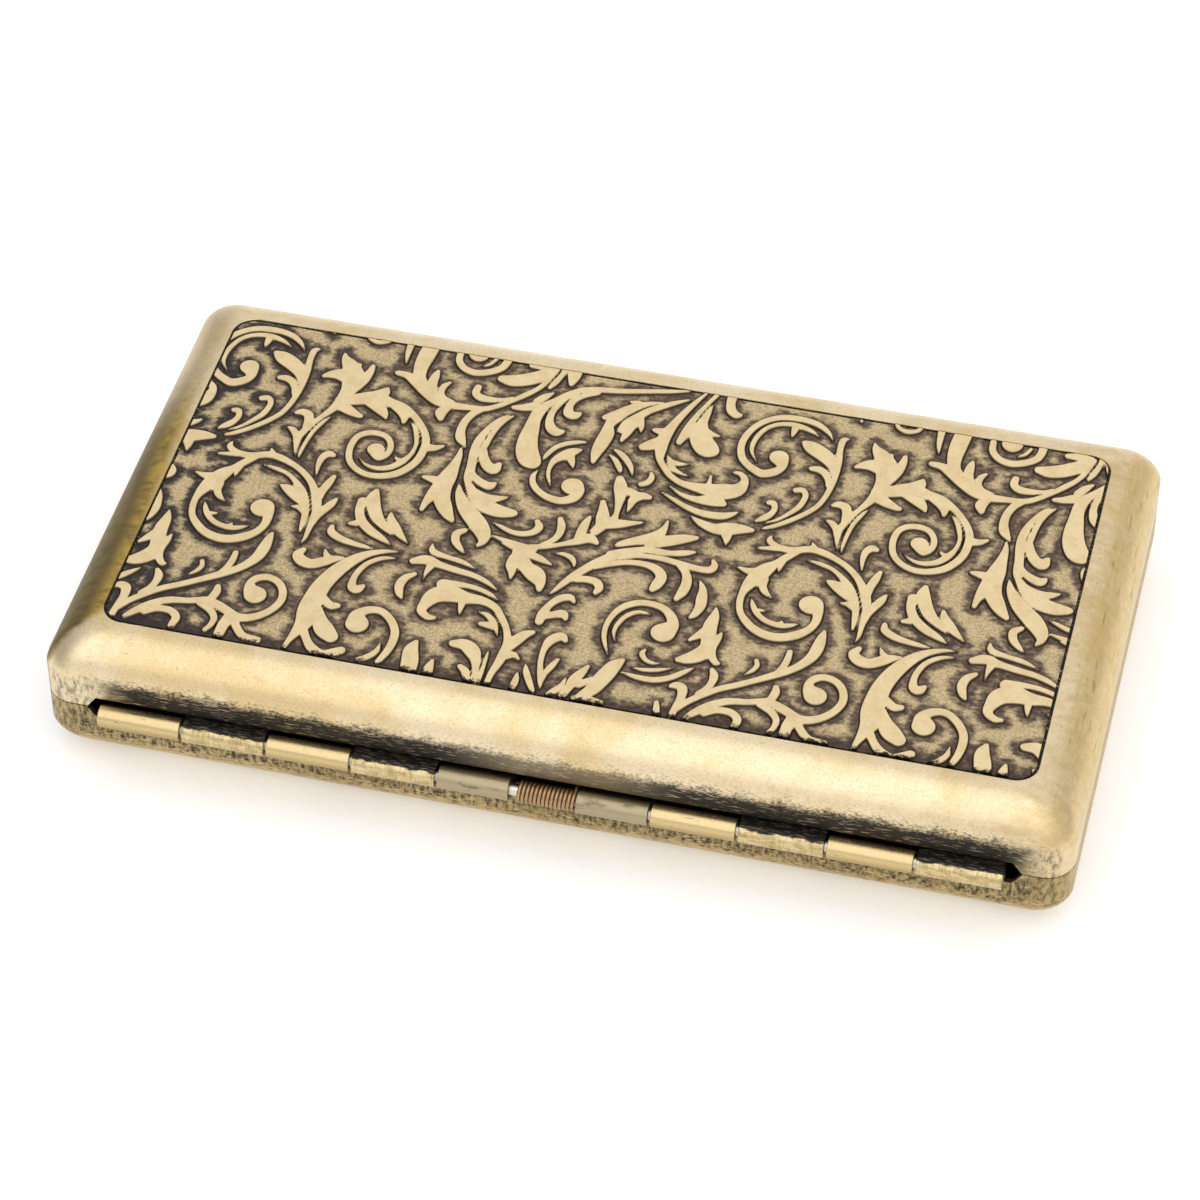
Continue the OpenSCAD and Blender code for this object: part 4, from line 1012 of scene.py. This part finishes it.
def build_spring(paint):
    """Coil of 13 and a half turns, with a straight leg into the base at one end and the lid at the other."""
    wire_r, coil_r, coil_l, leg_l, leg_from = 0.21, 1.0, 6.35, 3.6, 0.3
    turns, steps = 13.5, 234
    from_x = SPRING_LO[0] + wire_r
    to_x = from_x + coil_l - 2 * wire_r
    points = [(from_x, AXIS_Y + y, AXIS_Z - coil_r) for y in np.linspace(leg_l, leg_from, 8)]
    for k in range(steps + 1):
        turn = 2 * math.pi * turns * k / steps
        x = from_x + (to_x - from_x) * k / steps
        points.append((x, AXIS_Y - coil_r * math.sin(turn), AXIS_Z - coil_r * math.cos(turn)))
    points += [(to_x, AXIS_Y + y, AXIS_Z + coil_r) for y in np.linspace(leg_from, leg_l, 8)]
    return tube("spring_coil", points, wire_r, paint)


def slab(name, low, high, material, cuts=1):
    """A box cut into slices along X."""
    loops = []
    section = [(low[1], low[2]), (high[1], low[2]), (high[1], high[2]), (low[1], high[2])]
    for x in np.linspace(low[0], high[0], cuts + 1):
        loops.append(np.array([(x, y, z) for y, z in section]))
    return loft(name, loops, material, LEAF_SHARP)


def join(name, parts):
    """One object out of several, in the order given."""
    bm = bmesh.new()
    for part in parts:
        bm.from_mesh(part.data)
    mesh = bpy.data.meshes.new(name)
    bm.to_mesh(mesh)
    bm.free()
    mesh.materials.append(parts[0].data.materials[0])
    for part in parts:
        bpy.data.objects.remove(part)
    smooth(mesh, LEAF_SHARP)
    return link(bpy.data.objects.new(name, mesh))


def build_latch_leaf(paint):
    """Flat spring with its foot on the front wall and a hook that stands up behind the button."""
    thick, foot_l, hook_half, hook_reach = 0.4, 6.0, 3.0, 0.65
    x0, y0, z0 = LEAF_LO
    x1, _, z1 = LEAF_HI
    strip_top = z0 + 2.4
    strip = slab("strip", (x0, y0, z0), (x1, y0 + thick, strip_top), paint, 60)
    foot = slab("foot", (x0, y0, z0), (x0 + foot_l, HALF_W - WALL, strip_top), paint, 6)
    stem = slab("stem", (-hook_half, y0, z0 + 1.2), (hook_half, y0 + thick, z1), paint, 6)
    hook_y = y0 + thick + hook_reach
    hook = slab("hook", (-hook_half, y0, z1 - thick), (hook_half, hook_y, z1), paint, 6)
    return join("latch_spring", [strip, foot, stem, hook])


def ripple(x, y, size):
    """Slow unevenness between -1 and 1."""
    a = np.sin(x / size + 1.3) * np.cos(y / (0.8 * size) + 0.4)
    return 0.6 * a + 0.4 * np.sin((x * 0.7 + y * 1.3) / size + 2.1)


def grid_slab(name, u, v, low, high, material, sharp):
    """A closed slab between two height fields over the same grid of points."""
    gu, gv = np.meshgrid(u, v, indexing="ij")
    count = gu.size
    points = np.vstack([
        np.stack([gu.ravel(), gv.ravel(), low.ravel()], 1),
        np.stack([gu.ravel(), gv.ravel(), high.ravel()], 1),
    ])
    index = np.arange(count).reshape(gu.shape)
    cells = np.stack([index[:-1, :-1], index[:-1, 1:], index[1:, 1:], index[1:, :-1]], -1).reshape(-1, 4)
    ring = np.concatenate([index[:-1, 0], index[-1, :-1], index[:0:-1, -1], index[0, :0:-1]])
    after = np.roll(ring, -1)
    sides = np.stack([ring, after, after + count, ring + count], 1)
    faces = [*cells.tolist(), *(cells[:, ::-1] + count).tolist(), *sides.tolist()]
    obj = add_mesh(name, points, faces, material, sharp)
    face_outwards(obj)
    smooth(obj.data, sharp)
    return obj


def build_felt(paint):
    """Soft pad with rounded edges and a slightly uneven face, pressed in under the strap."""
    (x0, y0, z0), (x1, y1, z1) = FELT_LO, FELT_HI
    margin, round_r, least_thickness = 2.2, 0.75, 0.2
    strap_half, strap_dip = 5.6, 0.12
    edge = np.array([0, 0.12, 0.3, 0.6, 1.0, 1.5])
    u = np.concatenate([x0 + edge, np.linspace(x0 + margin, x1 - margin, 110), x1 - edge[::-1]])
    v = np.concatenate([y0 + edge, np.linspace(y0 + margin, y1 - margin, 60), y1 - edge[::-1]])
    gu, gv = np.meshgrid(u, v, indexing="ij")
    inside = np.minimum(np.minimum(gu - x0, x1 - gu), np.minimum(gv - y0, y1 - gv))
    rounded = round_r * (1 - np.clip(inside / round_r, 0, 1)) ** 2
    dip = strap_dip * np.exp(-((gv / strap_half) ** 8))
    uneven = 0.04 * (1 + ripple(gu, gv, 3.1)) + 0.02 * (1 + ripple(gu, gv, 0.7))
    face = z0 + rounded + uneven + dip
    back = z1 - 0.3 * rounded
    face = np.minimum(face, back - least_thickness)
    return grid_slab("felt_lining", u, v, face, back, paint, FELT_SHARP)


def build_strap(paint):
    """Ribbed elastic under the felt, with each end turned up into its clip."""
    (x0, y0, z0), (x1, y1, z1) = STRAP_LO, STRAP_HI
    thick, selvage, rib_pitch, rib_depth = 0.8, 0.04, 0.8, 0.05
    pad_end = FELT_HI[0] + 0.6
    clip_x = pad_end + 2.6
    u = np.linspace(x0, x1, 480)
    v = y0 + (y1 - y0) * np.array([0, 0.012, 0.04, 0.1, 0.2, 0.35, 0.5, 0.65, 0.8, 0.9, 0.96, 0.988, 1])
    rise = np.clip((np.abs(u) - pad_end) / (clip_x - pad_end), 0, 1)
    rise = rise * rise * (3 - 2 * rise)
    middle = z0 + thick / 2 + rise * (z1 - z0 - thick)
    gu, gv = np.meshgrid(u, v, indexing="ij")
    across = (gv - y0) / (y1 - y0)
    edge = np.clip(np.minimum(across, 1 - across) / selvage, 0, 1) ** 0.5
    ribs = rib_depth * np.abs(np.sin(math.pi * gu / rib_pitch))
    half = (thick / 2 - 0.06) * (0.55 + 0.45 * edge) + ribs
    middle = middle[:, None]
    return grid_slab("strap_elastic", u, v, middle - half, middle + half, paint, STRAP_SHARP)


# ---------------------------------------------------------------------------- the object

def dress(node, paint, width, segments=3):
    """A CAD node kept as it is, with rounded edges and a material."""
    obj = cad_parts[node]
    obj.data.materials.clear()
    obj.data.materials.append(paint)
    round_edges(obj, width, segments)
    return obj


def place(obj, body, node, slot_name):
    """A piece built here that stands for a CAD node and rides on its body."""
    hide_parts(node)
    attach(obj, body)
    return obj


def build_shells():
    """The two pressed halves, and the relief panel that rides on the lid."""
    lid_brass = shell_paint("antique_brass_lid", LID_BRASS, LID_WARM, 1.0, lid_patina)
    base_brass = shell_paint("antique_brass_base", BASE_BRASS, BASE_WARM, 0.6, base_patina)
    place(build_lid(lid_brass), "lid", "lid_shell", "antique_brass_lid")
    place(build_base(base_brass), "base", "base_shell", "antique_brass_base")
    relief, ground = build_panel(relief_paint(), ground_paint())
    for piece in (relief, ground):
        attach(piece, "lid")


def dress_hardware():
    """The CAD nodes that are shown as they are."""
    bright = bright_knuckle_paint()
    dull = plain_brass("bracket_dull", (0.40, 0.33, 0.205), (0.17, 0.14, 0.10), 0.4, 0.36)
    steel = plain_brass("pin_steel", (0.66, 0.62, 0.55), (0.12, 0.11, 0.10), 0.1, 0.3)
    button = plain_brass("button_brass", (0.80, 0.63, 0.36), (0.2, 0.14, 0.08), 0.12, 0.22)
    dress("base_hinge_leaf", bright, 0.1)
    dress("lid_hinge_leaf", lid_knuckle_paint(), 0.1)
    dress("spring_bracket", dull, 0.1)
    dress("hinge_pin", steel, 0.12)
    dress("latch_button", button, 0.3, 4)
    dress("lid_catch", bright, 0.08)
    dress("magnet_sheet", rubber_paint(), 0.15)
    dress("strap_clips", button, 0.12)


def build_springs():
    """The two springs, which take the place of their CAD nodes."""
    wire = plain_brass("spring_bronze", (0.42, 0.27, 0.14), (0.07, 0.045, 0.035), 0.3, 0.3, 0.5)
    spring = build_spring(wire)
    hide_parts("torsion_spring")
    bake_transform(spring)

    bronze = plain_brass("leaf_bronze", (0.55, 0.38, 0.20), (0.12, 0.08, 0.05), 0.2, 0.3)
    leaf = build_latch_leaf(bronze)
    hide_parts("latch_leaf")
    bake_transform(leaf)


def build_lining():
    """The soft fittings inside the lid."""
    felt = place(build_felt(felt_paint()), "lid", "felt_pad", "felt_wine")
    strap = place(build_strap(elastic_paint()), "lid", "elastic_strap", "elastic_black")


def metres(x, y, z):
    return (x * MM, y * MM, z * MM)


# ---------------------------------------------------------------------------- floor, light and camera

def build_floor():
    """White paper that glows a little, under the whole view."""
    paint = Paint("white_floor")
    paper = paint.mix(paint.noise(900, 1), (0.93, 0.93, 0.93), (0.95, 0.95, 0.95))
    paint.finish(paper, 0.95, 0.0, emission_color=(1.0, 1.0, 1.0), emission_strength=0.24)
    corners = [(x * FLOOR_HALF, y * FLOOR_HALF, 0) for x, y in ((-1, -1), (1, -1), (1, 1), (-1, 1))]
    floor = add_mesh("floor", corners, [[0, 1, 2, 3]], paint.material)
    floor.location.z = (BASE_LO[2] - 0.02) * MM


def build_world():
    """Soft white light all round, dimmer on the far left and towards the back right."""
    world = bpy.data.worlds.new("soft_room")
    world.use_nodes = True
    room = Nodes(world.node_tree, "Generated")
    x, y = room.axis("X"), room.axis("Y")
    left = room.ramp(x, -0.95, -0.1, 0.4, 0.98)
    back_right = room.ramp(room.plus(room.times(y, 0.5), x), 0.5, 1.1, 1.0, 0.76)
    background = world.node_tree.nodes["Background"]
    room.wire(room.times(left, back_right), background.inputs["Strength"])
    room.wire((1.0, 0.995, 0.985), background.inputs["Color"])
    bpy.context.scene.world = world


def aim(obj, place_mm, target_mm):
    """Put a lamp or a camera at a place and turn it to face the target."""
    obj.location = metres(*place_mm)
    direction = Vector(metres(*target_mm)) - obj.location
    obj.rotation_euler = direction.to_track_quat("-Z", "Y").to_euler()


def build_light():
    """One large square lamp over the hinge side, which faces the middle of the case."""
    lamp = bpy.data.lights.new("key", "AREA")
    lamp.size = KEY_SIZE * MM
    lamp.energy = KEY_WATTS
    aim(link(bpy.data.objects.new("key", lamp)), KEY_PLACE, MIDDLE)


def build_camera():
    """The photograph's view: from in front of the hinge and to the right, 44 degrees above the case."""
    camera = bpy.data.cameras.new("camera")
    camera.lens = 132.0
    camera.sensor_width = 36.0
    camera.clip_start = 0.01
    camera.clip_end = 20.0
    obj = link(bpy.data.objects.new("camera", camera))
    aim(obj, MIDDLE + CAMERA_PLACE, MIDDLE + CAMERA_TARGET)
    bpy.context.scene.camera = obj


build_shells()
dress_hardware()
build_springs()
build_lining()
build_floor()
build_world()
build_light()
build_camera()
bpy.context.scene.view_settings.view_transform = "Standard"
bpy.context.view_layer.update()
